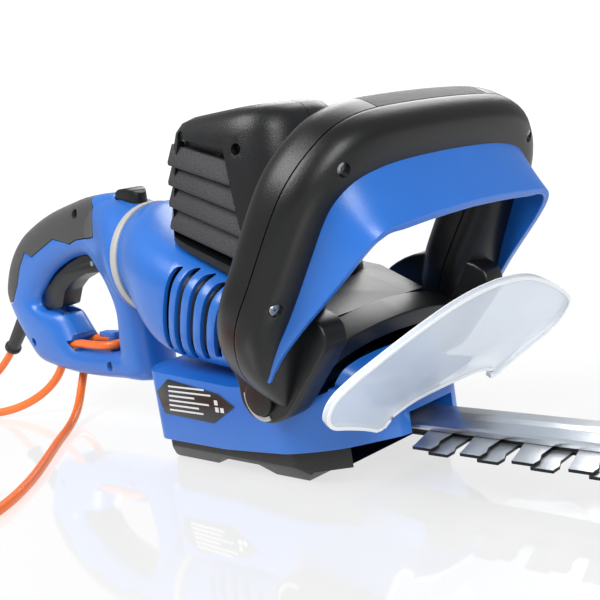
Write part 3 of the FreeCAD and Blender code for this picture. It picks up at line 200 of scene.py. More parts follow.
def material(surface: Surface) -> bpy.types.Material:
    """Build a finish's material once and return it.

    Args:
        surface: the finish.
    Returns:
        The material with its colour drift, roughness drift and relief.
    """
    if surface in _made:
        return _made[surface]
    f = FINISHES[surface]
    made = bpy.data.materials.new(surface.name.lower())
    made.use_nodes = True
    tree = made.node_tree
    tree.nodes.clear()
    where = node(tree, "ShaderNodeTexCoord")
    scaled = node(tree, "ShaderNodeMapping", None, {"Vector": where.outputs["Object"], "Scale": f.streak})
    cloud = node(tree, "ShaderNodeTexNoise", None, {"Vector": where.outputs["Object"], "Scale": 1 / (45 * MM),
                                                    "Detail": 3.0})
    # Moulding grain under half a millimetre can't show, so it is drawn about a millimetre coarse.
    grain = node(tree, "ShaderNodeTexNoise", None, {"Vector": scaled.outputs["Vector"],
                                                    "Scale": 1 / (f.grain_mm * MM), "Detail": 4.0,
                                                    "Roughness": 0.6})
    blend = node(tree, "ShaderNodeMix", {"data_type": "RGBA"}, {"Factor": cloud.outputs["Fac"]})
    blend.inputs[6].default_value = linear(f.colour)
    blend.inputs[7].default_value = linear(f.shade)
    rough = node(tree, "ShaderNodeMapRange", None, {"Value": grain.outputs["Fac"],
                                                    "To Min": max(f.roughness - f.spread, 0.02),
                                                    "To Max": f.roughness + f.spread})
    shader = node(tree, "ShaderNodeBsdfPrincipled", None,
                  {"Base Color": blend.outputs[2], "Roughness": rough.outputs["Result"],
                   "Metallic": f.metallic, "IOR": f.ior, "Coat Weight": f.coat, "Coat Roughness": 0.2,
                   "Sheen Weight": f.sheen, "Alpha": f.alpha, "Subsurface Weight": f.subsurface})
    if f.relief_mm:
        bump = node(tree, "ShaderNodeBump", None, {"Height": grain.outputs["Fac"], "Strength": 0.7,
                                                   "Distance": f.relief_mm * MM * 10})
        tree.links.new(bump.outputs["Normal"], shader.inputs["Normal"])
    node(tree, "ShaderNodeOutputMaterial", None, {"Surface": shader.outputs["BSDF"]})
    _made[surface] = made
    return made


# ---- Bench tools --------------------------------------------------------------------------
def only(piece: bpy.types.Object) -> None:
    """Select one object alone and make it active."""
    bpy.ops.object.select_all(action="DESELECT")
    piece.select_set(True)
    bpy.context.view_layer.objects.active = piece


def edit(piece: bpy.types.Object, work: Callable[[], None], mode: str = "VERT") -> None:
    """Run operators on everything in a piece's mesh.

    Args:
        piece: the object.
        work: what to do in edit mode.
        mode: the element that is selected.
    """
    only(piece)
    bpy.ops.object.mode_set(mode="EDIT")
    bpy.ops.mesh.select_mode(type=mode)
    bpy.ops.mesh.select_all(action="SELECT")
    work()
    bpy.ops.object.mode_set(mode="OBJECT")


def finish_with(piece: bpy.types.Object, kind: str, **settings: object) -> None:
    """Add a modifier with its settings and apply it."""
    only(piece)
    modifier = piece.modifiers.new(kind.lower(), kind)
    for name, value in settings.items():
        setattr(modifier, name, value)
    bpy.ops.object.modifier_apply(modifier=modifier.name)


def shade(piece: bpy.types.Object, angle: float = 38.0) -> None:
    """Shade smooth across edges flatter than angle degrees."""
    only(piece)
    bpy.ops.object.shade_smooth_by_angle(angle=math.radians(angle))


def raw_piece(name: str, points: Sequence[Vector], faces: Sequence[Sequence[int]]) -> bpy.types.Object:
    """Make an object at the origin from points in millimetres and faces."""
    mesh = bpy.data.meshes.new(name)
    mesh.from_pydata([Vector(p) * MM for p in points], [], [list(f) for f in faces])
    mesh.validate()
    made = bpy.data.objects.new(name, mesh)
    bpy.context.scene.collection.objects.link(made)
    return made


def outward(piece: bpy.types.Object) -> None:
    """Merge doubles and turn all faces outwards."""
    def work() -> None:
        """Merge, then recalculate."""
        bpy.ops.mesh.remove_doubles(threshold=1e-6)
        bpy.ops.mesh.normals_make_consistent(inside=False)
    edit(piece, work)


def loft(name: str, rings: Sequence[Sequence[Vector]], closed: bool = False) -> bpy.types.Object:
    """Skin a row of rings with equal point counts.

    Args:
        name: the object's name.
        rings: the rings in order, in millimetres.
        closed: join the last ring to the first; otherwise both ends get a face.
    Returns:
        The closed piece.
    """
    count = len(rings[0])
    points = [p for ring in rings for p in ring]
    faces: list[list[int]] = []
    rows = len(rings)
    for i in range(rows if closed else rows - 1):
        a, b = i * count, ((i + 1) % rows) * count
        for j in range(count):
            k = (j + 1) % count
            faces.append([a + j, a + k, b + k, b + j])
    if not closed:
        faces.append(list(range(count)))
        faces.append([(rows - 1) * count + j for j in range(count)])
    made = raw_piece(name, points, faces)
    outward(made)
    return made


def slab(name: str, points: Sequence[Point2], place: Placer, low: float, high: float, edge: float = 0.0,
         steps: int = 3) -> bpy.types.Object:
    """A face through an outline, extruded to a thickness and with its rims rounded.

    Args:
        name: the object's name.
        points: the outline, in the plane's two coordinates.
        place: turns (a, b, depth) into a point of the frame, in millimetres.
        low: depth of the first face.
        high: depth of the second face.
        edge: radius of the rounded rims.
        steps: segments of the rounding.
    Returns:
        The solid piece.
    """
    made = raw_piece(name, [place(a, b, low) for a, b in points], [list(range(len(points)))])
    move = (place(0, 0, high) - place(0, 0, low)) * MM

    def work() -> None:
        """Extrude the face along the depth."""
        bpy.ops.mesh.extrude_region_move(TRANSFORM_OT_translate={"value": move})
        bpy.ops.mesh.select_all(action="SELECT")
        bpy.ops.mesh.normals_make_consistent(inside=False)
    edit(made, work, "FACE")
    if edge:
        finish_with(made, "BEVEL", width=edge * MM, segments=steps, limit_method="ANGLE",
                    angle_limit=math.radians(40), harden_normals=False)
    return made


def curve_through(points: Sequence[Sequence[float]], steps: int, closed: bool = False) -> list[list[float]]:
    """Points on a Catmull-Rom curve through the given ones.

    Args:
        points: what the curve passes through.
        steps: points per span.
        closed: whether the curve returns to its start.
    Returns:
        The finer points.
    """
    count = len(points)
    out: list[list[float]] = []
    for i in range(count if closed else count - 1):
        if closed:
            p = [points[(i + k) % count] for k in (-1, 0, 1, 2)]
        else:
            p = [points[min(max(i + k, 0), count - 1)] for k in (-1, 0, 1, 2)]
        for j in range(steps):
            t = j / steps
            out.append([0.5 * (2 * b + (c - a) * t + (2 * a - 5 * b + 4 * c - d) * t * t
                               + (3 * b - a - 3 * c + d) * t ** 3) for a, b, c, d in zip(*p)])
    if not closed:
        out.append(list(points[-1]))
    return out


def boxy(angle: float, power: float) -> Point2:
    """A point on a unit superellipse: power 2 is round and higher is squarer."""
    c, s = math.cos(angle), math.sin(angle)
    return math.copysign(abs(c) ** (2 / power), c), math.copysign(abs(s) ** (2 / power), s)


def carve(piece: bpy.types.Object, tool: bpy.types.Object, how: str = "DIFFERENCE") -> None:
    """Cut a piece with a tool by an exact boolean, and throw the tool away."""
    finish_with(piece, "BOOLEAN", object=tool, operation=how, solver="EXACT")
    bpy.data.objects.remove(tool)


def joined(name: str, pieces: Sequence[bpy.types.Object]) -> bpy.types.Object:
    """Join several objects into one and name it."""
    bpy.ops.object.select_all(action="DESELECT")
    for p in pieces:
        p.select_set(True)
    bpy.context.view_layer.objects.active = pieces[0]
    bpy.ops.object.join()
    pieces[0].name = name
    pieces[0].data.name = name
    return pieces[0]


def twin(piece: bpy.types.Object, name: str) -> bpy.types.Object:
    """A copy with its own mesh."""
    made = bpy.data.objects.new(name, piece.data.copy())
    bpy.context.scene.collection.objects.link(made)
    return made


def mirrored_twin(piece: bpy.types.Object, name: str) -> bpy.types.Object:
    """A copy on the other side of the tool, its faces turned outwards again."""
    made = twin(piece, name)
    made.data.transform(Matrix.Scale(-1, 4, (0, 1, 0)))
    made.data.flip_normals()
    return made


def keep_side(piece: bpy.types.Object, point: Vector, normal: Vector) -> None:
    """Cut a piece with a plane, keep the side the normal points to, and close the cut."""
    def work() -> None:
        """Bisect and fill."""
        bpy.ops.mesh.bisect(plane_co=point * MM, plane_no=normal, use_fill=True, clear_inner=True)
    edit(piece, work)


def dress(piece: bpy.types.Object, surface: Surface, body: str, replaced: Sequence[str] = ()) -> None:
    """Give a finished piece its material, body and slot, and hide the nodes that it stands for."""
    piece.data.materials.clear()
    piece.data.materials.append(material(surface))
    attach(piece, body)
    if replaced:
        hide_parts(*replaced)
    log.info("%s: %d faces", piece.name, len(piece.data.polygons))


def eased(name: str, source: str, edge: float, surface: Surface | None = None, steps: int = 2,
          angle: float = 30.0) -> bpy.types.Object:
    """A merged copy of a node with its sharp edges rounded, standing for the node.

    Args:
        name: the new piece's name.
        source: the node.
        edge: radius of the rounding in millimetres.
        surface: the finish, or None for the node's own slot.
        steps: segments of the rounding.
        angle: edges sharper than this are rounded, in degrees.
    Returns:
        The finished piece.
    """
    made = twin(frame["nodes"][source], name)

    def work() -> None:
        """Merge the loose triangles and melt them into flat faces."""
        bpy.ops.mesh.remove_doubles(threshold=2e-6)
        bpy.ops.mesh.dissolve_limited(angle_limit=math.radians(1.0))
    edit(made, work)
    if edge:
        finish_with(made, "BEVEL", width=edge * MM, segments=steps, limit_method="ANGLE",
                    angle_limit=math.radians(angle), harden_normals=False)
    shade(made, 40)
    dress(made, surface or SLOT_SURFACE[SLOT_OF[source]], BODY_OF[source], [source])
    return made


def leaning(degrees: float) -> Placer:
    """A placer for a plane that leans forward: (Y, height along it, depth in front of it)."""
    s, c = math.sin(math.radians(degrees)), math.cos(math.radians(degrees))
    return lambda y, h, d: Vector((h * s + d * c, y, h * c - d * s))


def side_on(x: float, z: float, y: float) -> Vector:
    """Place a side-view point (X, Z) at Y."""
    return Vector((x, y, z))


def from_above(x: float, y: float, z: float) -> Vector:
    """Place a plan point (X, Y) at Z."""
    return Vector((x, y, z))


# ---- Sub-assemblies -----------------------------------------------------------------------
@dataclass
class Housing:
    """The blue clamshell: a barrel with vents over a stepped skirt, and the base it stands on."""

    stations: tuple[tuple[float, float, float, float, float], ...] = (
        (-163, 39.5, 86.5, 165.5, 2.0), (-157, 40.8, 84, 166, 2.0), (-149, 45, 80, 166, 2.1),
        (-140, 49.5, 76, 163.5, 2.3), (-128, 54, 71, 157.5, 2.7), (-114, 57.5, 67, 151, 3.2),
        (-95, 59.5, 64, 143.5, 3.6), (-70, 60.2, 62, 133, 3.8), (-45, 60.2, 60, 122.5, 3.8),
        (-20, 59, 58, 112, 3.6), (4, 56, 55, 99, 3.3), (20, 51.5, 52, 87, 3.0), (34, 44.5, 47.5, 76, 2.9),
        (47, 35, 43, 65, 2.8), (56, 27.5, 39.5, 56.5, 2.6), (60, 23, 38, 51, 2.5))
    wall: float = 3.0
    skirt_half: float = 61.0
    vents: tuple[tuple[float, float, float, float], ...] = (
        (-76, 128, -95, 76), (-64.5, 126, -84, 72.5), (-53, 122, -71.5, 71), (-41.5, 117, -58, 71.5),
        (-30, 111, -44.5, 74))
    vent_width: float = 6.4

    def barrel(self, name: str, inset: float) -> bpy.types.Object:
        """The smooth barrel, inset all round."""
        rings = []
        for x, half, low, high, power in curve_through(self.stations, 4):
            mid, tall = (low + high) / 2, (high - low) / 2
            ring = []
            for k in range(64):
                a, b = boxy(2 * math.pi * k / 64, power)
                ring.append(Vector((x, a * (half - inset), mid + b * (tall - inset))))
            rings.append(ring)
        return loft(name, rings)

    def vent_tool(self, top: Point2, foot: Point2) -> bpy.types.Object:
        """A bowed slot's cutting tool on the right flank."""
        half = self.vent_width / 2
        bow = 2.2
        mid = ((top[0] + foot[0]) / 2 - bow, (top[1] + foot[1]) / 2)
        line = curve_through([top, mid, foot], 6)
        left = [(x - half, z) for x, z in line]
        right = [(x + half, z) for x, z in reversed(line)]
        return slab("vent_tool", left + right, side_on, -75, -30, 2.4, 3)

    def build(self) -> None:
        """Model the shell, its dark liner as painted shade behind the vents, skirt and base plate."""
        shell = self.barrel("housing_barrel", 0.0)
        finish_with(shell, "SOLIDIFY", thickness=self.wall * MM, offset=-1.0)
        for tx, tz, bx, bz in self.vents:
            tool = self.vent_tool((tx, tz), (bx, bz))
            other = mirrored_twin(tool, "vent_tool_left")
            carve(shell, tool)
            carve(shell, other)
        finish_with(shell, "BEVEL", width=0.7 * MM, segments=2, limit_method="ANGLE",
                    angle_limit=math.radians(55))
        shade(shell, 34)
        dress(shell, Surface.BLUE_ABS, "root", ["housing_right", "housing_left"])
        # A dark closed barrel inside the shell: painted shade seen through the vents.
        liner = self.barrel("vent_shade_liner", 7.0)
        shade(liner)
        dress(liner, Surface.FAN_PA, "root")
        self.build_skirt()

    def build_skirt(self) -> None:
        """The lower body: two steps, cut to the plan and the side profile."""
        half = self.skirt_half
        plan = [(-126, half - 12), (-114, half), (4, half), (36, half - 13), (59, 26), (62, 20)]
        steps = []
        for name, inset, profile in (
                ("skirt_low", 0.0, [(-120, 17), (-50, 17), (20, 21.5), (62, 26), (62, 44), (54, 55), (10, 60),
                                    (-37, 57), (-95, 61), (-126, 63), (-126, 28)]),
                ("skirt_high", 2.2, [(-122, 40), (40, 40), (52, 56), (34, 74), (8, 84), (-20, 88), (-43, 72),
                                     (-60, 67), (-93, 67), (-110, 71), (-122, 73)])):
            body = slab(name, profile, side_on, -90, 90)
            outline = [(x, y - inset) for x, y in plan]
            tool = slab("plan_tool", outline + [(x, -y) for x, y in reversed(outline)], from_above, 0, 120)
            finish_with(tool, "BEVEL", width=5 * MM, segments=4, limit_method="ANGLE",
                        angle_limit=math.radians(20))
            carve(body, tool, "INTERSECT")
            finish_with(body, "BEVEL", width=1.6 * MM, segments=3, limit_method="ANGLE",
                        angle_limit=math.radians(38))
            steps.append(body)
        skirt = joined("housing_skirt", steps)
        slot = slab("blade_slot_tool", [(20, -19), (20, 19), (120, 19), (120, -19)], from_above, 0, 38)
        carve(skirt, slot)
        shade(skirt, 30)
        dress(skirt, Surface.BLUE_ABS, "root")
        pads = [slab("guard_pad", [(45, 52), (74.5, 52), (80, 60), (45, 60)], side_on, near, near + 10, 0.8)
                for near in (-20, 10)]
        feet = joined("guard_pads", pads)
        shade(feet, 30)
        dress(feet, Surface.BLUE_ABS, "root")
        eased("base_moulding", "base_plate", 1.2)


@dataclass
class RatingLabel:
    """The rating film on the right flank, with plain printed bars in place of its text."""

    rows: int = 6

    def build(self) -> None:
        """Round the film's corners and print its marks."""
        eased("rating_film", "rating_label", 0.2)
        bars = []
        for i in range(self.rows):
            z = 53.0 - 3.1 * i
            start = -97.0 - 0.5 * i
            width = (36, 42, 26, 40, 30, 34)[i]
            bars.append(slab("bar", [(start, z), (start + width, z), (start + width, z + 1.1), (start, z + 1.1)],
                             side_on, -61.75, -61.55))
        for i in range(3):
            x = -53.0 + 4.8 * (i % 2)
            z = 40.5 + 4.4 * (i // 2)
            bars.append(slab("block", [(x, z), (x + 3.2, z), (x + 3.2, z + 3), (x, z + 3)], side_on, -61.75, -61.55))
        marks = joined("rating_marks", bars)
        shade(marks)
        dress(marks, Surface.LABEL_INK, "root")


@dataclass
class MotorCowl:
    """The charcoal hood over the motor, split down the middle, with four slats each side."""

    half: float = 46.0
    top_half: float = 37.0
    rear: float = -104.0
    front: float = 4.0
    top: float = 216.0
    lips: tuple[tuple[float, float, float, float], ...] = (
        (-83, 204, -32, 188), (-85.5, 191.5, -29.5, 174), (-87.5, 179.5, -27, 158.8), (-89.5, 166.5, -24.5, 143.6),
        (-91, 152.5, -22.5, 128.2))
    slat_height: float = 10.5

    def rings(self) -> list[list[Vector]]:
        """Plan sections from the roof line up to the dome."""
        table = ((96, 0, 0, 0), (130, 1.2, 1.5, 0), (160, 3.0, 5, 0), (185, 5.2, 10, 0.5), (200, 7.2, 13.5, 1.5),
                 (208, 9.2, 16, 3.5), (213, 13, 20, 8), (215.4, 19, 27, 16), (216, 27, 36, 27))
        out = []
        for z, side, back, fore in table:
            half = self.half - side
            rear, front = self.rear + back, self.front - fore
            mid, long = (rear + front) / 2, (front - rear) / 2
            ring = []
            for k in range(72):
                angle = 2 * math.pi * k / 72
                a, b = boxy(angle, 5.5 if math.cos(angle) < 0 else 3.0)
                ring.append(Vector((mid + a * long, b * half, z)))
            out.append(ring)
        return out

    def side_y(self, z: float) -> float:
        """Half width of the hood at a height."""
        return self.half - (z - 96) * (5.2 / 89)

    def slat(self, lip: Sequence[float]) -> bpy.types.Object:
        """One flat blade of the right flank: its lower lip stands out and its top leans into the hood."""
        rings = []
        for x, z in ((lip[0], lip[1]), (lip[2], lip[3])):
            face = -self.side_y(z)
            rings.append([Vector((x, face - 0.4, z)), Vector((x, face + 5.2, z + self.slat_height)),
                          Vector((x, face + 9.0, z + self.slat_height)), Vector((x, face + 3.4, z - 2.2)),
                          Vector((x, face - 0.4, z - 2.2))])
        made = loft("slat", rings)
        finish_with(made, "BEVEL", width=0.55 * MM, segments=2, limit_method="ANGLE", angle_limit=math.radians(40))
        return made

    def build(self) -> None:
        """Skin the hood, cut its side panels and seam, and fit slats and screws."""
        hood = loft("hood", self.rings())
        low = slab("roof_tool", [(-150, 166), (60, 80), (60, 20), (-150, 20)], side_on, -90, 90)
        carve(hood, low)
        panel = [(-92, 146), (-22, 120), (-33, 194), (-76, 204)]
        tool = slab("panel_tool", panel, side_on, -70, -31.5, 1.6, 3)
        other = mirrored_twin(tool, "panel_tool_left")
        carve(hood, tool)
        carve(hood, other)
        for x, z in ((-23.0, 192.0), (-74.0, 205.0)):
            for side in (-1, 1):
                bpy.ops.object.select_all(action="DESELECT")
                bpy.ops.mesh.primitive_cylinder_add(vertices=32, radius=3.4 * MM, depth=24 * MM,
                                                    location=Vector((x, side * 46.2, z)) * MM,
                                                    rotation=(math.pi / 2, 0, 0))
                carve(hood, bpy.context.object)
        finish_with(hood, "BEVEL", width=1.0 * MM, segments=3, limit_method="ANGLE", angle_limit=math.radians(50))
        left = twin(hood, "cowl_half_left")
        hood.name = "cowl_half_right"
        keep_side(hood, Vector((0, -0.25, 0)), Vector((0, -1, 0)))
        keep_side(left, Vector((0, 0.25, 0)), Vector((0, 1, 0)))
        for piece, source in ((hood, "cowl_right"), (left, "cowl_left")):
            shade(piece, 34)
            dress(piece, Surface.COWL_NYLON, "root", [source])
        slats = joined("cowl_slats_right", [self.slat(lip) for lip in self.lips[1:]])
        shade(slats, 30)
        others = mirrored_twin(slats, "cowl_slats_left")
        # The slats carry a painted highlight: a greyer colour than the hood.
        for piece in (slats, others):
            dress(piece, Surface.SLAT_NYLON_PAINTED_HIGHLIGHT, "root")


@dataclass
class FrontHandle:
    """The loop handle: two black halves with a soft strip behind, the arch, and the leg caps."""

    lean: float = 29.0
    depth: float = 40.0
    seam: float = 16.6
    gap: float = 0.7
    outer: tuple[Point2, ...] = (
        (75, 58), (82, 63), (92, 72), (103, 86), (110.5, 103), (112, 118), (109, 136), (106.5, 153), (104, 168),
        (100.5, 182), (95, 193), (87, 203), (77, 211.5), (64, 217), (48, 219.8), (24, 221), (0, 221.3))
    inner: tuple[Point2, ...] = (
        (64, 58), (64, 61), (64, 68), (62.5, 80), (59, 95), (56.5, 110), (57.5, 126), (59.5, 142), (60, 155),
        (58.5, 166), (54.5, 174), (48, 179.5), (40, 182.3), (31, 183.3), (22, 183.5), (11, 183.5), (0, 183.5))
    grip_half: float = 45.6
    power: float = 2.9

    def ring(self, out: Sequence[float], into: Sequence[float], flip: int) -> list[Vector]:
        """One rounded section between an outer and an inner point."""
        place = leaning(self.lean)
        mid = ((out[0] + into[0]) / 2, (out[1] + into[1]) / 2)
        arm = ((out[0] - into[0]) / 2, (out[1] - into[1]) / 2)
        ring = []
        for k in range(40):
            a, b = boxy(2 * math.pi * k / 40, self.power)
            ring.append(place(flip * (mid[0] + a * arm[0]), mid[1] + a * arm[1], -self.depth / 2 + b * self.depth / 2))
        return ring

    def loop(self) -> bpy.types.Object:
        """The whole loop as one solid, from leg to leg."""
        outer = curve_through(self.outer, 4)
        inner = curve_through(self.inner, 4)
        near = [self.ring(o, i, -1) for o, i in zip(outer, inner)]
        far = [self.ring(o, i, 1) for o, i in zip(outer, inner)]
        return loft("loop", near + list(reversed(far[:-1])))

    def feet(self) -> None:
        """The flat tongues that run from the legs to the arch, and the grey arcs round their pivots."""
        tongue = [(-16, 92), (-15, 79), (-8, 70), (-7, 62), (-6, 55), (-1, 48.5), (6, 46), (15, 45), (25, 48), (33, 53),
                  (45, 66), (61, 83), (66, 92), (58, 104), (20, 112), (-8, 104)]
        fine = [(p[0], p[1]) for p in curve_through(tongue, 4, True)]
        right = slab("foot_tongue_right", fine, side_on, -78.6, -61.5, 2.0, 4)
        arc = []
        for k in range(25):
            angle = math.radians(-68 - 5 * k)
            c, z = math.cos(angle), math.sin(angle)
            arc.append([Vector((11.5 + r * c, y, 59.9 + r * z)) for r, y in
                        ((10.8, -78.2), (10.8, -79.8), (13.4, -79.4), (13.4, -78.2))])
        ring = loft("pivot_arc_right", arc)
        left = mirrored_twin(right, "foot_tongue_left")
        other = mirrored_twin(ring, "pivot_arc_left")
        for piece in (right, left):
            shade(piece, 40)
            dress(piece, Surface.BLACK_NYLON, "root")
        for piece in (ring, other):
            shade(piece, 40)
            dress(piece, Surface.RING_ABS, "root")

    def arch(self) -> bpy.types.Object:
        """The smooth band that crosses the gearbox between the legs."""
        top = curve_through([(0, 101), (20, 100), (40, 97), (58, 92), (72, 84)], 5)
        under = curve_through([(70, 62), (58, 74), (44, 83), (24, 88), (0, 89.5)], 5)
        half = [(p[0], p[1]) for p in top] + [(p[0], p[1]) for p in under]
        outline = half + [(-y, h) for y, h in reversed(half) if y > 1e-6]
        return slab("handle_arch", outline, leaning(self.lean), -self.seam, 1.0, 4.0, 4)

    def build(self) -> None:
        """Split the loop at its seam and at the soft strip, and add arch, caps and screws."""
        place = leaning(self.lean)
        normal = place(0, 0, 1) - place(0, 0, 0)
        front = self.loop()
        front.name = "loop_front"
        rear = twin(front, "loop_rear")
        keep_side(front, place(0, 0, -self.seam + self.gap / 2), normal)
        keep_side(rear, place(0, 0, -self.seam - self.gap / 2), -normal)
        for y, h in ((-78.0, 198.0), (78.0, 198.0), (-101.5, 128.0), (101.5, 128.0)):
            bpy.ops.object.select_all(action="DESELECT")
            bpy.ops.mesh.primitive_cylinder_add(vertices=32, radius=3.5 * MM, depth=16 * MM,
                                                location=place(y, h, 2) * MM,
                                                rotation=(0, math.radians(90 + self.lean), 0))
            carve(front, bpy.context.object)
        finish_with(front, "BEVEL", width=0.8 * MM, segments=2, limit_method="ANGLE",
                    angle_limit=math.radians(60))
        strip = twin(rear, "loop_soft_strip")
        edge = self.grip_half
        keep_side(strip, Vector((0, -edge + self.gap / 2, 0)), Vector((0, 1, 0)))
        keep_side(strip, Vector((0, edge - self.gap / 2, 0)), Vector((0, -1, 0)))
        left = twin(rear, "loop_rear_left")
        keep_side(rear, Vector((0, -edge - self.gap / 2, 0)), Vector((0, -1, 0)))
        keep_side(left, Vector((0, edge + self.gap / 2, 0)), Vector((0, 1, 0)))
        rear = joined("loop_rear", [rear, left])
        for piece, surface, slot, nodes in (
                (front, Surface.BLACK_NYLON, "black_nylon", ["front_handle_front"]),
                (rear, Surface.BLACK_NYLON, "black_nylon", ["front_handle_rear"]),
                (strip, Surface.SOFT_GRIP, "soft_grip", ["front_grip_insert"])):
            shade(piece, 40)
            dress(piece, surface, "root", nodes)
        arch = self.arch()
        shade(arch, 40)
        dress(arch, Surface.BLACK_NYLON, "root")
        for side in ("right", "left"):
            eased("leg_pivot_" + side, "leg_cap_" + side, 0.8, steps=3)
        self.feet()
        eased("gear_cowling", "gear_cover", 2.0, steps=3)
        eased("loop_screws", "front_handle_screws", 0.2)


@dataclass
class SwitchBail:
    """The wide blue band inside the loop that the hand squeezes."""

    lean: float = 29.0
    reach: float = 24.0
    wall: float = 4.6
    lip_passes: int = 40
    root_line: tuple[Point2, ...] = (
        (96, 84), (97.5, 94), (97.5, 105), (94.5, 118), (92, 132), (90.2, 146), (88.5, 158), (87, 170), (84, 181),
        (77, 190), (68, 196), (56, 199.6), (42, 201.8), (22, 203), (0, 203.4))
    stand: tuple[float, ...] = (-1.0, 0.5, 3.0, 6.5, 11, 15.5, 19.5, 22.5, 24, 24, 24, 24, 24, 24, 24)

    def build(self) -> None:
        """Skin the band from its root at the handle to its lip."""
        place = leaning(self.lean)
        rows = []
        for (y, h), stand in zip(self.root_line, self.stand):
            rows.append((y, h, stand))
        fine = curve_through(rows, 5)
        half = []
        for i, (y, h, stand) in enumerate(fine):
            a = fine[max(i - 1, 0)]
            b = fine[min(i + 1, len(fine) - 1)]
            tangent = Vector((b[0] - a[0], b[1] - a[1])).normalized()
            into = Vector((-tangent.y, tangent.x))
            share = stand / self.reach
            top = abs(into.y)
            slide = share * (7 + 14 * top ** 2)
            lip = Vector((y, h)) + into * slide
            half.append((Vector((y, h)), lip, into, stand))
        lips = [row[1] for row in half]
        for _ in range(self.lip_passes):
            lips = [lips[0], *((a + 2 * b + c) / 4 for a, b, c in zip(lips, lips[1:], lips[2:])), lips[-1]]
        half = [(row[0], lip, row[2], row[3]) for row, lip in zip(half, lips)]
        rings = []
        for side in (-1, 1):
            part = []
            for root_point, lip, into, stand in half:
                corners = [(root_point, -5.0), (lip, stand), (lip + into * self.wall, stand - 0.6),
                           (root_point + into * self.wall, -5.0)]
                ring = []
                for j, (p, d) in enumerate(corners):
                    q, e = corners[(j + 1) % 4]
                    for t in (0.0, 0.25, 0.5, 0.75):
                        ring.append(place(side * (p.x + (q.x - p.x) * t), p.y + (q.y - p.y) * t, d + (e - d) * t))
                part.append(ring)
            rings = rings + (part if side == -1 else list(reversed(part[:-1])))
        band = loft("squeeze_band", rings)
        finish_with(band, "BEVEL", width=1.3 * MM, segments=3, limit_method="ANGLE", angle_limit=math.radians(45))
        shade(band, 40)
        dress(band, Surface.BLUE_ABS, "bail", ["switch_bail"])


@dataclass
class HandGuard:
    """The milky leaf-shaped guard in front of the hand."""

    lean: float = 36.0
    offset: float = 30.0
    wall: float = 3.0
    edge_line: tuple[Point2, ...] = (
        (0, 154), (18, 152.6), (35, 149), (50, 143.6), (66, 136.5), (82, 128.6), (95, 121.5), (103.5, 114.5),
        (106, 107), (103.5, 98), (96, 91), (84, 85.8), (68, 78.5), (55, 71.5))
    notch: tuple[Point2, ...] = ((50, 71), (48, 76), (43, 79), (30, 83), (14, 84.2), (0, 84.5))

    def build(self) -> None:
        """Extrude the leaf with rounded rims."""
        half = [(p[0], p[1]) for p in curve_through(self.edge_line, 4) + curve_through(self.notch, 3)]
        leaf = slab("guard_leaf", half + [(-y, h) for y, h in reversed(half) if y > 1e-6], leaning(self.lean),
                    self.offset, self.offset + self.wall, 1.0, 3)
        shade(leaf, 40)
        dress(leaf, Surface.GUARD_PC, "root", ["hand_guard"])
        self.rim(half)

    def rim(self, half: Sequence[Point2]) -> None:
        """A thin bead along the leaf's edge, painted near-white as a painted highlight."""
        line = list(half) + [(-y, h) for y, h in reversed(half) if y > 1e-6]
        place = leaning(self.lean)
        rings = []
        for i, (y, h) in enumerate(line):
            before, after = line[i - 1], line[(i + 1) % len(line)]
            along = Vector((after[0] - before[0], after[1] - before[1])).normalized()
            inward = Vector((-along.y, along.x)) * (1 if along.x * (h - 112) - along.y * y < 0 else -1)
            rings.append([place(y + inward.x * a, h + inward.y * a, self.offset + b)
                          for a, b in ((0.2, -0.3), (0.2, 3.3), (2.2, 3.3), (2.2, -0.3))])
        bead = loft("guard_edge_painted_highlight", rings, True)
        shade(bead, 30)
        dress(bead, Surface.GUARD_EDGE_PAINTED_HIGHLIGHT, "root")


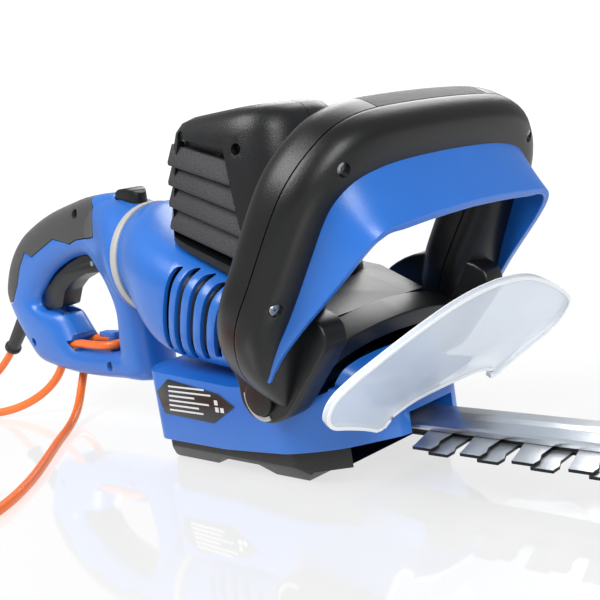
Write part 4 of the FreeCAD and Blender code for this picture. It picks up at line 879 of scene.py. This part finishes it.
@dataclass
class RearHandle:
    """The swivelling D handle with its soft grip, trigger, lock button and strain relief."""

    half: float = 18.0
    power: float = 2.7
    loop_line: tuple[tuple[float, float, float, float], ...] = (
        (-189, 37, -226, 58), (-184.5, 60, -222, 72), (-184, 90, -219, 90), (-184, 125, -226, 106),
        (-188, 160, -236, 118), (-205, 175, -246, 130), (-235, 176.5, -262, 130.5), (-264, 173, -280, 126.5),
        (-293, 168, -300, 119), (-322, 160, -315, 110), (-346, 150, -325, 103), (-366, 135, -331, 97),
        (-380, 118, -331, 91.5), (-386.5, 102, -324, 88), (-379, 79, -312, 87), (-367, 60, -301, 85),
        (-352, 45, -293, 75), (-325, 39.5, -286, 64), (-296, 36.5, -279, 58.5), (-262, 35, -262, 57),
        (-225, 35.3, -241, 57))
    collar_line: tuple[tuple[float, float, float, float, float], ...] = (
        (-170.5, 39.4, 86.6, 165.4, 2.0), (-176, 39.4, 86.8, 166.5, 2.0), (-184, 36.5, 88.5, 169, 2.2),
        (-194, 31.5, 93, 171.5, 2.5), (-206, 25.5, 101, 173.5, 2.7), (-220, 20.5, 112, 174.5, 2.7),
        (-236, 17.4, 128, 173.5, 2.5))
    grip: tuple[Point2, ...] = (
        (-227, 200), (-226.5, 176), (-218, 169), (-214, 158), (-215, 148), (-220, 147), (-247, 146), (-259, 143),
        (-268, 145.5), (-281, 148), (-319, 135), (-329, 139), (-341, 128), (-352, 112), (-366, 97), (-400, 92),
        (-400, 200))
    screws: tuple[Point3, ...] = ((-243, -12, 165), (-344, -14, 62), (-232, -15.5, 47))

    def loop(self) -> bpy.types.Object:
        """The D as a closed row of rounded sections between its outer and inner outlines."""
        rings = []
        for ox, oz, ix, iz in curve_through(self.loop_line, 5, True):
            ring = []
            for k in range(36):
                a, b = boxy(2 * math.pi * k / 36, self.power)
                ring.append(Vector(((ox + ix) / 2 + a * (ox - ix) / 2, b * self.half, (oz + iz) / 2 + a * (oz - iz) / 2)))
            rings.append(ring)
        return loft("handle_loop", rings, True)

    def collar(self) -> bpy.types.Object:
        """The round collar that narrows into the D."""
        rings = []
        for x, half, low, high, power in curve_through(self.collar_line, 5):
            ring = []
            for k in range(48):
                a, b = boxy(2 * math.pi * k / 48, power)
                ring.append(Vector((x, a * half, (low + high) / 2 + b * (high - low) / 2)))
            rings.append(ring)
        return loft("handle_collar", rings)

    def body(self) -> bpy.types.Object:
        """Collar and loop in one, with the trigger's pocket, the cord's slot and the screw wells cut."""
        whole = self.loop()
        carve(whole, self.collar(), "UNION")
        pocket = [(-229, 112), (-229, 137), (-258, 141), (-290, 138), (-318, 128), (-338, 114), (-342, 100),
                  (-336, 88), (-322, 83), (-300, 84), (-286, 100), (-250, 112)]
        carve(whole, slab("pocket_tool", pocket, side_on, -8.9, 8.9))
        slot = [(-326, -9), (-320, -14.8), (-290, -14.8), (-290, 14.8), (-320, 14.8), (-326, 9)]
        carve(whole, slab("slot_tool", slot, from_above, 20, 64, 0))
        channel = [(-291, -14.8), (-291, 14.8), (-239, 14.8), (-229, 5), (-229, -5), (-239, -14.8)]
        carve(whole, slab("channel_tool", channel, from_above, 55.6, 68))
        for x, y, z in self.screws:
            bpy.ops.object.select_all(action="DESELECT")
            bpy.ops.mesh.primitive_cylinder_add(vertices=32, radius=3.8 * MM, depth=40 * MM,
                                                location=Vector((x, y - 18.0, z)) * MM, rotation=(math.pi / 2, 0, 0))
            carve(whole, bpy.context.object)
        ring = [(-189.5 + 16.0 * math.cos(math.tau * k / 40), 9.6 * math.sin(math.tau * k / 40)) for k in range(40)]
        carve(whole, slab("button_seat_tool", ring, from_above, 171, 190))
        return whole

    def build(self) -> None:
        """Split the body into shell and soft grip, and add the small parts."""
        shell = self.body()
        skin = twin(shell, "soft_grip_skin")
        carve(skin, slab("grip_tool", self.grip, side_on, -40, 40), "INTERSECT")
        grown = [(x + (0.7 if x > -300 else 0.3), z - (0.8 if z < 160 else 0)) for x, z in self.grip]
        carve(shell, slab("grip_gap_tool", grown, side_on, -40, 40))
        shell.name = "handle_shell"
        for piece in (skin, shell):
            finish_with(piece, "BEVEL", width=0.9 * MM, segments=3, limit_method="ANGLE",
                        angle_limit=math.radians(50))
            shade(piece, 36)
        dress(shell, Surface.BLUE_ABS, "rear_handle", ["rear_handle_right", "rear_handle_left"])
        dress(skin, Surface.SOFT_GRIP, "rear_handle", ["rear_grip"])
        hook = slab("cord_hook", [(-262, -3.6), (-262, 3.6), (-244, 5), (-241, 3), (-241, -3), (-244, -5)],
                    from_above, 66, 70, 0.8)
        post = slab("hook_post", [(-246 + 5 * math.cos(math.tau * k / 32), 5 * math.sin(math.tau * k / 32))
                                  for k in range(32)], from_above, 53, 67)
        hook = joined("cord_hook", [hook, post])
        shade(hook, 40)
        dress(hook, Surface.BLUE_ABS, "rear_handle")
        for name, source, edge in (("trigger_lever", "trigger", 1.2), ("lock_push", "handle_lock_button", 1.4),
                                   ("cord_boot", "strain_relief", 0.6), ("scale_ring", "angle_ring", 0.8)):
            eased(name, source, edge, steps=3)


@dataclass
class Blades:
    """The two toothed blades and the bar over them."""

    def build(self) -> None:
        """Ease the blades' edges and dress them."""
        eased("bar_extrusion", "blade_bar", 0.35)
        for name, source in (("blade_low", "lower_blade"), ("blade_high", "upper_blade")):
            blade = eased(name, source, 0.35, angle=50)
            # Faces that don't point up are painted dark: real dark cut sides, and painted shade on the tooth bevels and
            # underside.
            blade.data.materials.append(material(Surface.BLADE_SIDES_AND_PAINTED_SHADE))
            for face in blade.data.polygons:
                face.material_index = 0 if face.normal.z > 0.8 else 1
        eased("bar_bolts", "blade_bolts", 0.4)


@dataclass
class MainsCord:
    """The orange lead, its coil for storage, and its plug."""

    thick: float = 6.8
    coil: Point2 = (-186.0, -222.0)
    coil_outer: float = 59.0
    columns: int = 5
    rows: int = 4
    per_turn: int = 16
    turns: float = 19.25
    lead: tuple[Point3, ...] = (
        (-419.5, 0, 49.4), (-429.5, 0, 41.2), (-450, -5, 25), (-466, -20, 11), (-469, -42, 4.5),
        (-454, -60, 3.5), (-427, -62, 3.5), (-398, -51, 3.5), (-370, -37, 5), (-344, -22, 15),
        (-323, -11.5, 32), (-311, -9.7, 52), (-292, -9.1, 61.5), (-263, -10.2, 60.5), (-237.5, -9.7, 61),
        (-237.5, 9.7, 61), (-263, 10.2, 60.5), (-293, 8.9, 62), (-304.5, 6, 46), (-302.5, -3.5, 26),
        (-288, -20, 9), (-266, -42, 3.5), (-238, -69, 3.5), (-206, -97, 3.5), (-172, -128, 3.5),
        (-145, -160, 3.5), (-129, -193, 3.5))
    tail: tuple[Point3, ...] = ((-210, -282, 15), (-234, -279, 10.5), (-250, -278, 10.5))

    def coil_points(self) -> list[Point3]:
        """Flat spirals on each other, wound inwards and outwards in turn."""
        lift = self.thick
        points: list[Point3] = []
        total = int(self.turns * self.per_turn)
        for k in range(total + 1):
            t = k / self.per_turn
            layer, share = divmod(t, self.columns)
            layer = int(min(layer, self.rows - 1))
            share = t - layer * self.columns
            radius = self.coil_outer - lift * (share if layer % 2 == 0 else self.columns - share)
            near = min(round(t / self.columns), self.rows)
            height = 0.0 if near == 0 else self.rows - 1.0
            if 0 < near < self.rows:
                height = near - 1 + min(max((t - near * self.columns) / 0.5 + 0.5, 0.0), 1.0)
            angle = -2 * math.pi * t
            stretch = 1.02
            points.append((self.coil[0] + radius * stretch * math.cos(angle),
                           self.coil[1] + radius * stretch * math.sin(angle), 3.5 + lift * height))
        return points

    def route(self) -> list[Point3]:
        """Every control point, from the strain relief to the plug."""
        return [*self.lead, *self.coil_points()[1:], *self.tail]

    def line(self) -> list[Vector]:
        """Points in metres on the one smooth spline through the route."""
        data = bpy.data.curves.new("lead_line", "CURVE")
        data.dimensions = "3D"
        spline = data.splines.new("NURBS")
        route = self.route()
        spline.points.add(len(route) - 1)
        for point, place in zip(spline.points, route):
            point.co = (*(Vector(place) * MM), 1.0)
        spline.order_u = 3
        spline.use_endpoint_u = True
        data.resolution_u = 6
        holder = bpy.data.objects.new("lead_line", data)
        bpy.context.scene.collection.objects.link(holder)
        mesh = bpy.data.meshes.new_from_object(holder)
        out = [v.co.copy() for v in mesh.vertices]
        bpy.data.objects.remove(holder)
        return out

    def tube(self, line: Sequence[Vector]) -> bpy.types.Object:
        """A round sheath along the line, closed at both ends."""
        rings = []
        side = Vector((0, 1, 0))
        for i, here in enumerate(line):
            ahead = (line[min(i + 1, len(line) - 1)] - line[max(i - 1, 0)]).normalized()
            side = (side - ahead * side.dot(ahead)).normalized()
            up = ahead.cross(side)
            ring = []
            for k in range(12):
                angle = 2 * math.pi * k / 12
                ring.append((here + (side * math.cos(angle) + up * math.sin(angle)) * self.thick / 2 * MM) / MM)
            rings.append(ring)
        return loft("mains_lead", rings)

    def build(self) -> None:
        """Make the lead with its coil from the handle to the floor, give it its finish, and dress tie and plug."""
        line = self.line()
        lead = self.tube(line)
        shade(lead, 60)
        lead.data.materials.append(material(Surface.CORD_PVC))
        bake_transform(lead)
        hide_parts("mains_cord", "cord_coil", "cord_tail")
        tie = eased("coil_tie", "cord_tie", 0.3)
        plug = eased("plug_body", "mains_plug", 2.5, steps=4)
        pins = eased("plug_prongs", "plug_pins", 0.8)
        length = sum((b - a).length for a, b in zip(line, line[1:]))
        log.info("cord length %.3f m", length)


@dataclass
class InnerWorks:
    """Every node that keeps its own shape: motor, gears, pins and screws."""

    def build(self) -> None:
        """Give each shown node the finish of its slot."""
        for name, shown in frame["nodes"].items():
            if shown.hide_render:
                continue
            surface = Surface.FAN_PA if name == "cooling_fan" else SLOT_SURFACE[SLOT_OF[name]]
            shown.data.materials.clear()
            shown.data.materials.append(material(surface))
            log.info("%s keeps its shape", name)


@dataclass
class Studio:
    """A pale floor, soft lights and the camera."""

    lens: float = 57.476
    place: Point3 = (394.81, -400.55, 185.92)
    right: Point3 = (0.6946, 0.7027, -0.1541)
    up: Point3 = (-0.0029, 0.2169, 0.9763)
    lights: tuple[tuple[str, Point3, float, float], ...] = (
        ("key", (-500, -1200, 1500), 1.0, 32.0), ("side", (1400, -500, 1000), 0.7, 19.0),
        ("back", (-700, 1300, 1300), 1.2, 24.0))

    def camera(self) -> None:
        """Set up the camera."""
        data = bpy.data.cameras.new("camera")
        data.lens = self.lens
        data.sensor_width = 36
        data.clip_start, data.clip_end = 0.01, 50
        view = bpy.data.objects.new("camera", data)
        bpy.context.scene.collection.objects.link(view)
        right = Vector(self.right).normalized()
        up = Vector(self.up)
        up = (up - right * up.dot(right)).normalized()
        back = right.cross(up)
        turn = Matrix((right, up, back)).transposed().to_4x4()
        view.matrix_world = Matrix.Translation(Vector(self.place) * MM) @ turn
        bpy.context.scene.camera = view

    def light(self, name: str, place: Point3, size: float, power: float) -> None:
        """A square soft light aimed at the tool."""
        data = bpy.data.lights.new(name, "AREA")
        data.size = size
        data.energy = power
        lamp = bpy.data.objects.new(name, data)
        bpy.context.scene.collection.objects.link(lamp)
        lamp.location = Vector(place) * MM
        aim = Vector((-50, 0, 100)) * MM - lamp.location
        lamp.rotation_euler = aim.to_track_quat("-Z", "Y").to_euler()

    def build(self) -> None:
        """Floor, background, lights and camera."""
        bpy.ops.object.select_all(action="DESELECT")
        bpy.ops.mesh.primitive_plane_add(size=12, location=(0, 0, -0.0002))
        floor = bpy.context.object
        floor.name = "floor"
        paint = bpy.data.materials.new("pale_floor")
        paint.use_nodes = True
        shader = paint.node_tree.nodes["Principled BSDF"]
        shader.inputs["Base Color"].default_value = linear("#6E6E6E")
        shader.inputs["IOR"].default_value = 2.0
        shader.inputs["Roughness"].default_value = 0.05
        shader.inputs["Emission Color"].default_value = (1, 1, 1, 1)
        shader.inputs["Emission Strength"].default_value = 0.7
        floor.data.materials.append(paint)
        world = bpy.data.worlds.new("studio")
        world.use_nodes = True
        sky = world.node_tree.nodes["Background"]
        sky.inputs["Color"].default_value = (1, 1, 1, 1)
        # The white behind the tool is brighter than the light it throws, so that dark mouldings stay dark.
        ray = node(world.node_tree, "ShaderNodeLightPath")
        glow = node(world.node_tree, "ShaderNodeMapRange", None, {"Value": ray.outputs["Is Camera Ray"],
                                                                  "To Min": 0.45, "To Max": 1.1})
        world.node_tree.links.new(glow.outputs["Result"], sky.inputs["Strength"])
        bpy.context.scene.world = world
        bpy.context.scene.view_settings.view_transform = "Standard"
        for row in self.lights:
            self.light(*row)
        self.camera()


def main() -> None:
    """Build the studio, then each sub-assembly."""
    logging.basicConfig(level=logging.INFO, format="%(message)s")
    for part in (Studio(), MainsCord(), Housing(), RatingLabel(), MotorCowl(), FrontHandle(), SwitchBail(),
                 HandGuard(), RearHandle(), Blades(), InnerWorks()):
        log.info("-- %s", type(part).__name__)
        part.build()


if __name__ == "__main__":
    main()
